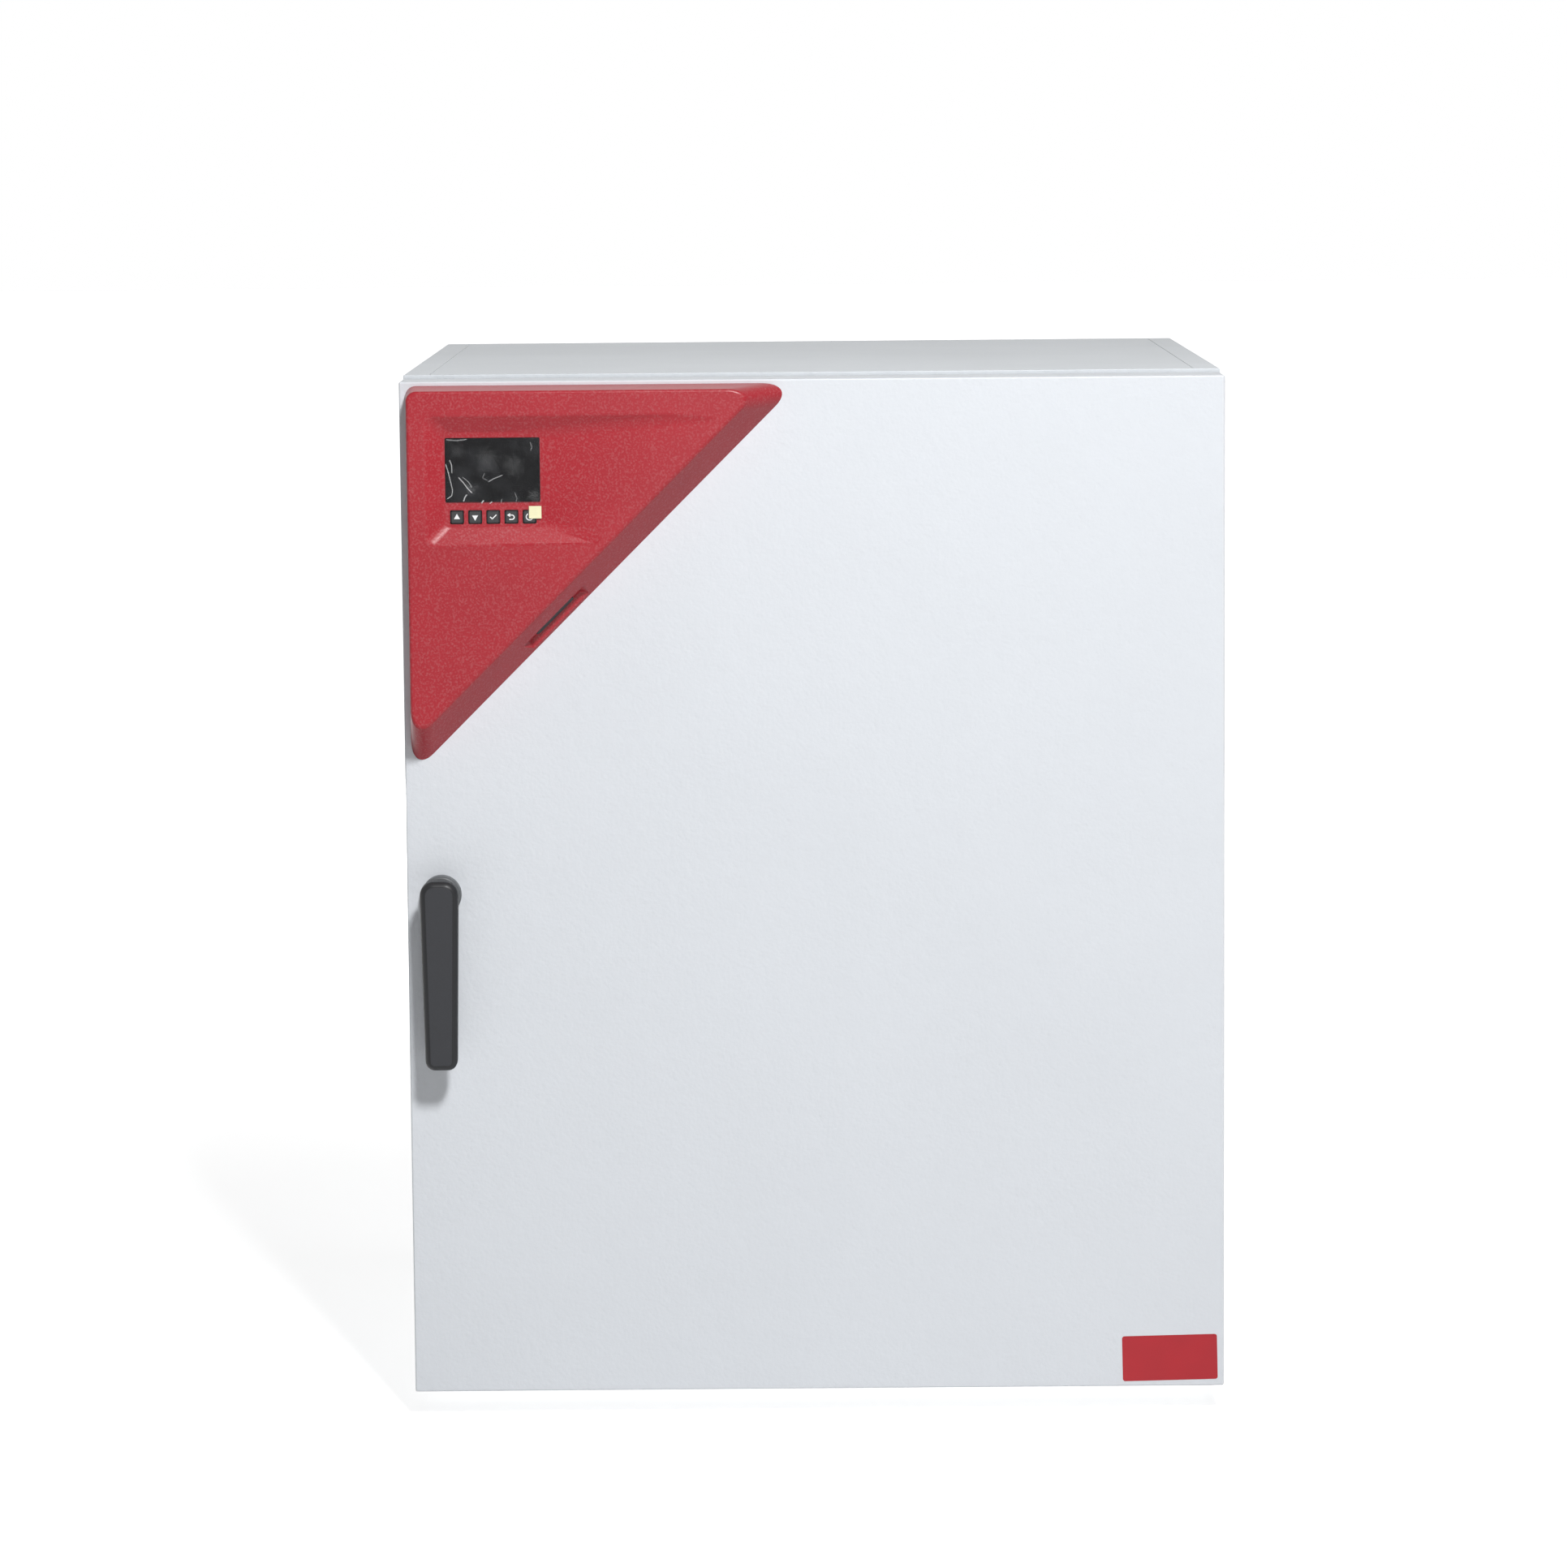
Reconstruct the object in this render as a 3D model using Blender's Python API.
# Biochemical oxygen demand incubator: a free-standing cooled cabinet with one full-height door.
# Units are metres, +Z is up, the door faces -Y, and the origin is on the floor under the middle.
import bpy
import bmesh
from math import atan2, cos, pi, radians, sin, sqrt
from mathutils import Matrix, Vector

# Overall sizes of the cabinet and its door
CABINET_WIDTH = 0.800
DOOR_HEIGHT = 1.000
DOOR_THICKNESS = 0.052
DOOR_GAP = 0.004
DOOR_SILL = 0.002
DOOR_EDGE_ROUND = 0.0015
TOP_LIP = 0.0034
HOUSING_DEPTH = 0.624
FIT = 0.0003
SHEET = 0.0015
RETURN_DEPTH = 0.008
SEAM = 0.0005
FLANGE_WIDTH = 0.025

# Feet
FOOT_HEIGHT = 0.025
FOOT_RADIUS = 0.020
FOOT_NECK_RADIUS = 0.013
FOOT_PAD_HEIGHT = 0.010
FOOT_INSET_SIDE = 0.060
FOOT_SETBACK_FRONT = 0.100
FOOT_SETBACK_REAR = 0.060

# Working chamber
SIDE_WALL = 0.120
REAR_WALL = 0.084
CHAMBER_CEILING = 0.080
MACHINE_HEIGHT = 0.1726
CHAMBER_FLOOR_INSULATION = 0.050
LINER_WALL = 0.0012
DECK_FLANGE = 0.020
BASE_EDGE_HEIGHT = 0.030

# Main door hinge on the right, and how far it opens
HINGE_INSET = 0.010
HINGE_SETBACK = 0.014
HINGE_PIN_RADIUS = 0.0045
HINGE_PIN_REACH = 0.012
HINGE_ARM_WIDTH = 0.014
HINGE_ARM_THICKNESS = 0.006
HINGE_ARM_PLAY = 0.0006
HINGE_FROM_END = 0.036
HINGE_PLATE_HEIGHT = 0.044
HINGE_PLATE_WIDTH = 0.026
HINGE_PLATE_THICKNESS = 0.003
HINGE_BLOCK_HEIGHT = 0.040
HINGE_BLOCK_WIDTH = 0.022
HINGE_BLOCK_FRONT = 0.022
POCKET_FRONT = 0.0135

# Door build-up
LINER_SHEET = 0.003
DISH_DEPTH = 0.022
DISH_MARGIN = 0.020
DISH_DRAFT = 0.006
GASKET_WIDTH = 0.016
GASKET_MARGIN = 0.003

# Inner glass door
GLASS_THICKNESS = 0.005
GLASS_OVERLAP = 0.020
GLASS_CORNER_ROUND = 0.006
GLASS_SEAL_HEIGHT = 0.006
GLASS_SEAL_WIDTH = 0.010
GLASS_SEAL_CLEARANCE = 0.0015
RAIL_WIDTH = 0.0145
RAIL_GRIP = 0.004
RAIL_WALL = 0.002
RAIL_PIN_RADIUS = 0.0025
RAIL_PIN_LENGTH = 0.008
POST_HEIGHT = 0.012
POST_WIDTH = 0.016
KNOB_RADIUS = 0.014
KNOB_HEIGHT = 0.012
KNOB_FACE_RADIUS = 0.0112
KNOB_NECK_RADIUS = 0.0091
KNOB_FOOT_RADIUS = 0.0098
KNOB_EDGE_ROUND = 0.0024
KNOB_FOOT_HEIGHT = 0.0036

# Control housing, a moulded triangle fixed on the door: u is measured from the door's left
# edge and v down from its top edge, and the long side is the line u + v = a constant
HOUSING_BASE_LEFT = 0.0063
HOUSING_BASE_TOP = 0.0040
HOUSING_BASE_DIAGONAL = 0.391
HOUSING_FACE_LEFT = 0.0094
HOUSING_FACE_TOP = 0.0073
HOUSING_FACE_DIAGONAL = 0.358
HOUSING_PROJECTION = 0.040
HOUSING_WALL = 0.003
HOUSING_SHOULDER = 0.003
HOUSING_CORNER_RADIUS = 0.010
HOUSING_TIP_RADIUS = 0.011
HOUSING_ARC_STEPS = 6

# Sunk control field in the housing's face
FIELD_LEFT = 0.0273
FIELD_TOP = 0.0310
FIELD_BOTTOM = 0.1555
FIELD_DIAGONAL = 0.3475
FIELD_DEPTH = 0.009
FIELD_SLOPE_WIDTH = 0.0170
FIELD_FLOOR_RIGHT = 0.139
FIELD_CORNER_ROUND = 0.006

# Display and keys
DISPLAY_LEFT = 0.0460
DISPLAY_TOP = 0.0526
DISPLAY_WIDTH = 0.0914
DISPLAY_HEIGHT = 0.0620
DISPLAY_GLASS = 0.0010
DISPLAY_RIM = 0.003
KEY_COUNT = 5
KEY_SIZE = 0.0127
KEY_PITCH = 0.0175
KEY_FIRST_LEFT = 0.0504
KEY_TOP = 0.1228
KEY_ROUND = 0.0016
KEY_PROUD = 0.0012
KEY_CLEARANCE = 0.0004
KEY_COLLAR = 0.0010
KEY_COLLAR_THICKNESS = 0.0015
KEY_TRAVEL = 0.001
BOARD_THICKNESS = 0.0016
BOARD_MARGIN = 0.004

# Port on the housing's sloping long side
PORT_ALONG_U = 0.150
PORT_ALONG_V = 0.228
PORT_MOUTH_LENGTH = 0.0864
PORT_LOWER_LENGTH = 0.0768
PORT_OVERCUT = 0.0005
PORT_SEAT_LENGTH = 0.065
PORT_NEAR_DOOR = 0.0045
PORT_FAR_DOOR = 0.020
PORT_SEAT_NEAR_INSET = 0.0095
PORT_SEAT_FAR_INSET = 0.0150
COVER_LENGTH = 0.050
COVER_HEIGHT = 0.009
COVER_THICKNESS = 0.0025
COVER_SHIFT = 0.0015
COVER_TONGUE_LENGTH = 0.036
COVER_TONGUE_HEIGHT = 0.004
COVER_TONGUE_DEPTH = 0.007

# Door handle
HANDLE_U = 0.034
HANDLE_V = 0.502
HANDLE_PROJECTION = 0.045
LEVER_THICKNESS = 0.017
LEVER_ABOVE = 0.019
LEVER_BELOW = 0.167
LEVER_TOP_WIDTH = 0.0377
LEVER_BOTTOM_WIDTH = 0.0306
LEVER_RIM = 0.004
LEVER_TOP_ROUND = 0.012
LEVER_BOTTOM_ROUND = 0.008
LEVER_ARC_STEPS = 5
HUB_RADIUS = 0.0145
ROSETTE_RADIUS = 0.0195
ROSETTE_HEIGHT = 0.012
SPINDLE_RADIUS = 0.006
CAM_LENGTH = 0.020
CAM_WIDTH = 0.014
CAM_TIP_WIDTH = 0.0112
CAM_THICKNESS = 0.004
CAM_REACH = 0.010
CAM_SLEEVE_RADIUS = 0.009
KEEPER_WIDTH = 0.048
KEEPER_HEIGHT = 0.056
KEEPER_DEPTH = 0.016
KEEPER_LIP = 0.0045

# Inside the chamber
DUCT_DEPTH = 0.070
BAFFLE_WIDTH = 0.400
BAFFLE_MARGIN = 0.020
BAFFLE_SLOT_COUNT = 6
BAFFLE_SLOT_WIDTH = 0.120
BAFFLE_SLOT_HEIGHT = 0.008
BAFFLE_SLOT_PITCH = 0.022
BAFFLE_SLOT_START = 0.040
BAFFLE_INLET_RADIUS = 0.052
FAN_RADIUS = 0.056
FAN_HUB_RADIUS = 0.018
FAN_HUB_DEPTH = 0.020
FAN_BLADES = 5
BLADE_THICKNESS = 0.0016
BLADE_ROOT = 0.0207
BLADE_HALF_CHORDS = (0.010, 0.016, 0.018)
BLADE_PITCHES = (35, 30, 25)
FAN_SHAFT_RADIUS = 0.003
FAN_MOTOR_RADIUS = 0.028
FAN_MOTOR_DEPTH = 0.030
FAN_FROM_CEILING = 0.180
FAN_TO_BAFFLE = 0.010
EVAPORATOR_WIDTH = 0.300
EVAPORATOR_HEIGHT = 0.200
EVAPORATOR_DEPTH = 0.036
EVAPORATOR_FINS = 14
EVAPORATOR_FLOOR_GAP = 0.050
FIN_THICKNESS = 0.0020
FIN_SPINE = 0.006
HEATER_RADIUS = 0.004
HEATER_WIDTH = 0.240
HEATER_GAP = 0.030
HEATER_PITCH = 0.030
RACK_WIDTH = 0.012
RACK_SHEET = 0.0015
RACK_LEVELS = 5
RACK_FIRST_LEVEL = 0.100
RACK_HEADROOM = 0.120
RACK_REAR_GAP = 0.056
RACK_MARGIN = 0.030
SHELF_LEVELS = (0, 2, 4)
SHELF_THICKNESS = 0.005
SHELF_FRONT_GAP = 0.014
SHELF_SIDE_GAP = 0.003
SHELF_SLOTS = 12
SHELF_BAR = 0.010
SHELF_BORDER = 0.016
PROBE_RADIUS = 0.003
PROBE_LENGTH = 0.070
PROBE_STANDOFF = 0.006
PROBE_FROM_EDGE = 0.050
PROBE_LEVEL = 3
PROBE_CLIP_LEVELS = (0.021, 0.056)

# Access port through the rear wall
ACCESS_FROM_SIDE = 0.030
ACCESS_FROM_CEILING = 0.140
ACCESS_OUTER_RADIUS = 0.018
ACCESS_BORE_RADIUS = 0.015
PLUG_KNOB_RADIUS = 0.022
PLUG_KNOB_DEPTH = 0.012
PLUG_STEM_LENGTH = 0.030
PLUG_STEM_CHAMFER = 0.0015
PLUG_KNOB_CHAMFER = 0.004

# Machine compartment under the chamber
COMPRESSOR_RADIUS = 0.070
COMPRESSOR_HEIGHT = 0.150
COMPRESSOR_FLANGE = 0.085
COMPRESSOR_SKIRT_RADIUS = 0.063
COMPRESSOR_SKIRT_HEIGHT = 0.020
COMPRESSOR_SHOULDER = 0.105
COMPRESSOR_FROM_SIDE = 0.188
CONDENSER_FROM_SIDE = 0.228
CONDENSER_WIDTH = 0.260
CONDENSER_HEIGHT = 0.140
CONDENSER_DEPTH = 0.036
CONDENSER_FINS = 12
CONDENSER_FROM_REAR = 0.110
SHROUD_DEPTH = 0.030
SHROUD_WALL = 0.006
SHROUD_FAN_CLEARANCE = 0.004
MOTOR_BAR_HEIGHT = 0.012
VENT_SLOTS = 7
VENT_SLOT_WIDTH = 0.220
VENT_SLOT_HEIGHT = 0.007
VENT_PITCH = 0.018
INLET_FROM_SIDE = 0.118
INLET_HEIGHT = 0.050
INLET_WIDTH = 0.048
INLET_TALL = 0.028
INLET_DEPTH = 0.024
INLET_RIM = 0.003
INLET_PROUD = 0.002
INLET_WALL = 0.003

# Levels and planes worked out from the sizes above
HALF_WIDTH = CABINET_WIDTH / 2
TOTAL_DEPTH = HANDLE_PROJECTION + DOOR_THICKNESS + DOOR_GAP + HOUSING_DEPTH + PLUG_KNOB_DEPTH
DOOR_FRONT = -TOTAL_DEPTH / 2 + HANDLE_PROJECTION
DOOR_REAR = DOOR_FRONT + DOOR_THICKNESS
HOUSING_FRONT = DOOR_REAR + DOOR_GAP
HOUSING_REAR = HOUSING_FRONT + HOUSING_DEPTH
HOUSING_BOTTOM = FOOT_HEIGHT
DOOR_BOTTOM = HOUSING_BOTTOM + DOOR_SILL
DOOR_TOP = DOOR_BOTTOM + DOOR_HEIGHT
HOUSING_TOP = DOOR_TOP + TOP_LIP
HALF_CHAMBER = HALF_WIDTH - SIDE_WALL
CHAMBER_TOP = HOUSING_TOP - CHAMBER_CEILING
DECK_BOTTOM = HOUSING_BOTTOM + MACHINE_HEIGHT
DECK_TOP = DECK_BOTTOM + SHEET
CHAMBER_BOTTOM = DECK_TOP + CHAMBER_FLOOR_INSULATION + LINER_WALL
CHAMBER_MIDDLE = (CHAMBER_TOP + CHAMBER_BOTTOM) / 2
CHAMBER_REAR = HOUSING_REAR - REAR_WALL
MACHINE_FLOOR = HOUSING_BOTTOM + SHEET + FIT
INNER_SIDE = HALF_WIDTH - SHEET - FIT
FRAME_REAR = HOUSING_FRONT + SHEET
INNER_FRONT = FRAME_REAR + FIT
INNER_REAR = HOUSING_REAR - SHEET - FIT
PANEL_FRONT = HOUSING_FRONT + RETURN_DEPTH + SEAM
PANEL_REAR = HOUSING_REAR - RETURN_DEPTH - SEAM
HINGE_X = HALF_WIDTH - HINGE_INSET
HINGE_Y = DOOR_REAR - HINGE_SETBACK
HINGE_LEVELS = {"top": DOOR_TOP - HINGE_FROM_END, "bottom": DOOR_BOTTOM + HINGE_FROM_END}
GLASS_REAR = HOUSING_FRONT - GLASS_SEAL_HEIGHT - 2 * FIT
GLASS_FRONT = GLASS_REAR - GLASS_THICKNESS
GLASS_HALF = HALF_CHAMBER + GLASS_OVERLAP
GLASS_BOTTOM = CHAMBER_BOTTOM - GLASS_OVERLAP
GLASS_TOP = CHAMBER_TOP + GLASS_OVERLAP
GLASS_SEAL_INSET = RAIL_GRIP + GLASS_SEAL_CLEARANCE
DISH_HALF_X = GLASS_HALF + DISH_MARGIN
DISH_HALF_Z = (GLASS_TOP - GLASS_BOTTOM) / 2 + DISH_MARGIN
GLASS_HINGE_X = GLASS_HALF + RAIL_WIDTH / 2
GLASS_HINGE_Y = (GLASS_REAR + GLASS_FRONT) / 2
HANDLE_X = -HALF_WIDTH + HANDLE_U
HANDLE_Z = DOOR_TOP - HANDLE_V
BAFFLE_FRONT = CHAMBER_REAR - DUCT_DEPTH
HOUSING_FACE = DOOR_FRONT - HOUSING_PROJECTION
FIELD_FLOOR = HOUSING_FACE + FIELD_DEPTH
FIELD_BACK = FIELD_FLOOR + HOUSING_WALL
BOARD_FRONT = FIELD_BACK + 2 * FIT + KEY_COLLAR_THICKNESS + KEY_TRAVEL
FAN_Z = CHAMBER_TOP - FAN_FROM_CEILING
ACCESS_X = HALF_CHAMBER - ACCESS_FROM_SIDE
ACCESS_Z = CHAMBER_TOP - ACCESS_FROM_CEILING
COMPRESSOR_X = -INNER_SIDE + COMPRESSOR_FROM_SIDE
CONDENSER_X = INNER_SIDE - CONDENSER_FROM_SIDE
INLET_X = -INNER_SIDE + INLET_FROM_SIDE
INLET_Z = HOUSING_BOTTOM + INLET_HEIGHT
RACK_SPAN = CHAMBER_TOP - CHAMBER_BOTTOM - RACK_FIRST_LEVEL - RACK_HEADROOM
RACK_LEVEL_PITCH = RACK_SPAN / (RACK_LEVELS - 1)
ROUND = 24
PIN_ROUND = 16
END_ARC_STEPS = 8


def clear_scene():
    for item in list(bpy.data.objects):
        bpy.data.objects.remove(item, do_unlink=True)


def finish_material(name, colour, roughness, metallic=0.0, alpha=1.0):
    material = bpy.data.materials.new(name)
    material.use_nodes = True
    shader = material.node_tree.nodes["Principled BSDF"]
    shader.inputs["Base Color"].default_value = (*colour, 1.0)
    shader.inputs["Roughness"].default_value = roughness
    shader.inputs["Metallic"].default_value = metallic
    shader.inputs["Alpha"].default_value = alpha
    return material


def make_object(name, bm, finish, smooth_angle=None):
    """Turn a bmesh in world coordinates into a named object with its faces pointing out."""
    bmesh.ops.recalc_face_normals(bm, faces=bm.faces)
    mesh = bpy.data.meshes.new(name)
    bm.to_mesh(mesh)
    bm.free()
    item = bpy.data.objects.new(name, mesh)
    bpy.context.collection.objects.link(item)
    mesh.materials.append(finish_material(name, *finish))
    if smooth_angle:
        mesh.shade_smooth()
        mesh.set_sharp_from_angle(angle=radians(smooth_angle))
    return item


def block(low, high):
    """A box between two opposite corners."""
    bm = bmesh.new()
    bmesh.ops.create_cube(bm, size=1.0)
    low = Vector(low)
    high = Vector(high)
    bmesh.ops.scale(bm, vec=high - low, verts=bm.verts)
    bmesh.ops.translate(bm, vec=(high + low) / 2, verts=bm.verts)
    return bm


def face_towards(bm, direction):
    """The outermost face that looks along a direction."""
    direction = Vector(direction)
    bm.normal_update()
    looking = [f for f in bm.faces if f.normal.dot(direction) > 0.9]
    return max(looking, key=lambda f: f.calc_center_median().dot(direction))


def push_face(bm, face, border, distance):
    """Inset a face by a border and move the inner face along its normal."""
    bm.normal_update()
    normal = face.normal.copy()
    bmesh.ops.inset_individual(bm, faces=[face], thickness=border, use_even_offset=True)
    pushed = bmesh.ops.extrude_discrete_faces(bm, faces=[face])["faces"][0]
    bmesh.ops.translate(bm, vec=normal * distance, verts=pushed.verts)
    return pushed


def taper_face(bm, face, amount):
    """Shrink a face by an amount on every side, for the draft of a moulded wall."""
    centre = face.calc_center_median()
    for vert in face.verts:
        offset = vert.co - centre
        for axis in range(3):
            if abs(offset[axis]) > amount:
                offset[axis] -= amount if offset[axis] > 0 else -amount
        vert.co = centre + offset


def pan(low, high, wall, opening):
    """A box with walls of one thickness that is open on one side."""
    bm = block(low, high)
    depth = abs((Vector(high) - Vector(low)).dot(Vector(opening)))
    push_face(bm, face_towards(bm, opening), wall, wall - depth)
    return bm


def extrude_outline(points, place, direction):
    """Extrude a closed outline: place maps a point to 3-D, direction is the extrusion."""
    bm = bmesh.new()
    verts = [bm.verts.new(place(*point)) for point in points]
    face = bm.faces.new(verts)
    top = bmesh.ops.extrude_face_region(bm, geom=[face])["geom"]
    moved = [g for g in top if isinstance(g, bmesh.types.BMVert)]
    bmesh.ops.translate(bm, vec=direction, verts=moved)
    return bm


def revolve(profile, centre, axis="Z", steps=ROUND):
    """Turn a profile of (radius, height) points about an axis; radius 0 closes an end."""
    bm = bmesh.new()
    rings = []
    for radius, height in profile:
        if radius == 0.0:
            rings.append([bm.verts.new((0.0, 0.0, height))])
            continue
        angles = [2 * pi * i / steps for i in range(steps)]
        rings.append([bm.verts.new((radius * cos(a), radius * sin(a), height)) for a in angles])
    for lower, upper in zip(rings, rings[1:]):
        for i in range(steps):
            j = (i + 1) % steps
            corners = [lower[i % len(lower)], lower[j % len(lower)]]
            corners += [upper[j % len(upper)], upper[i % len(upper)]]
            bm.faces.new(list(dict.fromkeys(corners)))
    if len(rings[0]) > 1 and len(rings[-1]) > 1 and profile[0] != profile[-1]:
        bm.faces.new(rings[0])
        bm.faces.new(rings[-1])
    if axis == "Y":
        bmesh.ops.rotate(bm, matrix=Matrix.Rotation(radians(-90), 3, "X"), verts=bm.verts)
    bmesh.ops.translate(bm, vec=centre, verts=bm.verts)
    return bm


def tube_ring(outer, inner, low, high, centre, axis="Z", steps=ROUND):
    """A plain tube as a closed ring."""
    bm = revolve([(outer, low), (outer, high), (inner, high), (inner, low)], (0, 0, 0), "Z", steps)
    bmesh.ops.delete(bm, geom=[f for f in bm.faces if len(f.verts) > 4], context="FACES_ONLY")
    bm.verts.ensure_lookup_table()
    for i in range(steps):
        j = (i + 1) % steps
        bm.faces.new([bm.verts[3 * steps + i], bm.verts[3 * steps + j], bm.verts[j], bm.verts[i]])
    if axis == "Y":
        bmesh.ops.rotate(bm, matrix=Matrix.Rotation(radians(-90), 3, "X"), verts=bm.verts)
    bmesh.ops.translate(bm, vec=centre, verts=bm.verts)
    return bm


def slotted_plate(u_lines, v_lines, is_open, place, thickness):
    """A plate cut by grid lines, with the cells that is_open names left out."""
    bm = bmesh.new()
    grid = {}

    def corner(i, j):
        if (i, j) not in grid:
            grid[i, j] = bm.verts.new(place(u_lines[i], v_lines[j]))
        return grid[i, j]

    for i in range(len(u_lines) - 1):
        for j in range(len(v_lines) - 1):
            if not is_open(i, j):
                bm.faces.new([corner(i, j), corner(i + 1, j), corner(i + 1, j + 1), corner(i, j + 1)])
    top = bmesh.ops.extrude_face_region(bm, geom=list(bm.faces))["geom"]
    moved = [g for g in top if isinstance(g, bmesh.types.BMVert)]
    bmesh.ops.translate(bm, vec=thickness, verts=moved)
    bmesh.ops.dissolve_limit(
        bm, angle_limit=radians(1), verts=bm.verts, edges=bm.edges, use_dissolve_boundaries=False
    )
    return bm


def merge_blocks(boxes):
    """Several separate boxes in one mesh, for a cutter."""
    bm = bmesh.new()
    for low, high in boxes:
        part = block(low, high)
        mesh = bpy.data.meshes.new("box")
        part.to_mesh(mesh)
        part.free()
        bm.from_mesh(mesh)
        bpy.data.meshes.remove(mesh)
    return bm


def boolean(item, bm, operation="DIFFERENCE"):
    """Cut or join a shape that itself stays out of the finished model."""
    tool = make_object(item.name + "_tool", bm, ((0.5, 0.5, 0.5), 0.5))
    tool.hide_render = True
    tool.display_type = "WIRE"
    modifier = item.modifiers.new(tool.name, "BOOLEAN")
    modifier.operation = operation
    modifier.solver = "EXACT"
    modifier.object = tool
    return tool


def edges_between(bm, direction, level, tolerance=0.0002):
    """Edges that lie in the plane at a level along a direction."""
    direction = Vector(direction)
    return [e for e in bm.edges if all(abs(v.co.dot(direction) - level) < tolerance for v in e.verts)]


def edges_in_depth(bm):
    """Edges that run towards or away from the door's front."""
    return [e for e in bm.edges if abs(e.verts[0].co.y - e.verts[1].co.y) > FIT]


def round_edges(bm, edges, radius, segments=2):
    bmesh.ops.bevel(
        bm, geom=edges, offset=radius, segments=segments, profile=0.5, affect="EDGES", clamp_overlap=True
    )


def carry(pivot_name, pivot_point, pieces):
    """Parent moving pieces to an empty that stands on their joint axis."""
    empty = bpy.data.objects.new(pivot_name, None)
    empty.location = pivot_point
    bpy.context.collection.objects.link(empty)
    for piece in pieces:
        piece.parent = empty
        piece.matrix_parent_inverse = Matrix.Translation(-Vector(pivot_point))
    return empty


# Finishes: colour, roughness and, for metal, the metallic value
CABINET_PAINT = ((0.72, 0.75, 0.77), 0.45)
STAINLESS = ((0.62, 0.62, 0.60), 0.28, 1.0)
ZINC = ((0.55, 0.57, 0.58), 0.40, 1.0)
RED_PLASTIC = ((0.42, 0.035, 0.050), 0.38)
BLACK_PLASTIC = ((0.040, 0.042, 0.045), 0.35)
WHITE_PLASTIC = ((0.75, 0.76, 0.76), 0.40)
DARK_GLASS = ((0.020, 0.022, 0.026), 0.12)
CLEAR_GLASS = ((0.80, 0.90, 0.88), 0.03, 0.0, 0.25)
FOAM = ((0.80, 0.72, 0.50), 0.90)
RUBBER = ((0.030, 0.030, 0.032), 0.70)
SILICONE = ((0.70, 0.70, 0.68), 0.55)
BLACK_STEEL = ((0.020, 0.020, 0.022), 0.40)
BOARD_GREEN = ((0.02, 0.16, 0.06), 0.50)
FINS = ((0.70, 0.71, 0.72), 0.35, 1.0)


def frame_ring(low, high, hole_low, hole_high, y_low, y_high, name, finish):
    """A flat rectangular ring that faces -Y, with outer and inner corners in x and z."""
    bm = slotted_plate(
        [low[0], hole_low[0], hole_high[0], high[0]],
        [low[1], hole_low[1], hole_high[1], high[1]],
        lambda i, j: i == 1 and j == 1,
        lambda x, z: (x, y_low, z),
        (0.0, y_high - y_low, 0.0),
    )
    return make_object(name, bm, finish)


def hinge_arm_box(level, clearance):
    """The space that the hinge arm takes where it passes the front frame."""
    half_width = HINGE_ARM_WIDTH / 2 + clearance
    half_height = HINGE_ARM_THICKNESS / 2 + clearance
    low = (HINGE_X - half_width, HOUSING_FRONT - SHEET, level - half_height)
    high = (HINGE_X + half_width, FRAME_REAR + SHEET, level + half_height)
    return low, high


def keeper_box(clearance, front, rear):
    """The latch keeper's outline behind the handle."""
    low = (HANDLE_X - KEEPER_WIDTH / 2 - clearance, front, HANDLE_Z - KEEPER_HEIGHT / 2 - clearance)
    high = (HANDLE_X + KEEPER_WIDTH / 2 + clearance, rear, HANDLE_Z + KEEPER_HEIGHT / 2 + clearance)
    return low, high


def build_front_frame():
    low = (-HALF_WIDTH, HOUSING_FRONT, HOUSING_BOTTOM)
    high = (HALF_WIDTH, HOUSING_FRONT + RETURN_DEPTH, HOUSING_TOP)
    item = make_object("front_frame", pan(low, high, SHEET, (0, 1, 0)), CABINET_PAINT)
    opening = (
        (-HALF_CHAMBER, HOUSING_FRONT - SHEET, CHAMBER_BOTTOM),
        (HALF_CHAMBER, FRAME_REAR + SHEET, CHAMBER_TOP),
    )
    holes = [opening, keeper_box(FIT, HOUSING_FRONT - SHEET, FRAME_REAR + SHEET)]
    holes += [hinge_arm_box(level, FIT) for level in HINGE_LEVELS.values()]
    boolean(item, merge_blocks(holes))


def build_side_panel(name, side):
    """Side sheet with its top turned in as a flange."""
    outer = side * HALF_WIDTH
    inner = side * (HALF_WIDTH - SHEET)
    turned = side * (HALF_WIDTH - FLANGE_WIDTH)
    points = [
        (outer, HOUSING_BOTTOM),
        (outer, HOUSING_TOP),
        (turned, HOUSING_TOP),
        (turned, HOUSING_TOP - SHEET),
        (inner, HOUSING_TOP - SHEET),
        (inner, HOUSING_BOTTOM),
    ]
    length = (0.0, PANEL_REAR - PANEL_FRONT, 0.0)
    bm = extrude_outline(points, lambda x, z: (x, PANEL_FRONT, z), length)
    make_object(name, bm, CABINET_PAINT)


def build_top_panel():
    half = HALF_WIDTH - FLANGE_WIDTH - SEAM
    bm = block((-half, PANEL_FRONT, HOUSING_TOP - SHEET), (half, PANEL_REAR, HOUSING_TOP))
    make_object("top_panel", bm, CABINET_PAINT)


def access_cutter(clearance):
    """The round hole that the access port needs through the whole rear wall."""
    radius = ACCESS_OUTER_RADIUS + clearance
    centre = (ACCESS_X, 0.0, ACCESS_Z)
    profile = [(radius, CHAMBER_REAR - SHEET), (radius, HOUSING_REAR + SHEET)]
    return revolve(profile, centre, "Y")


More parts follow.
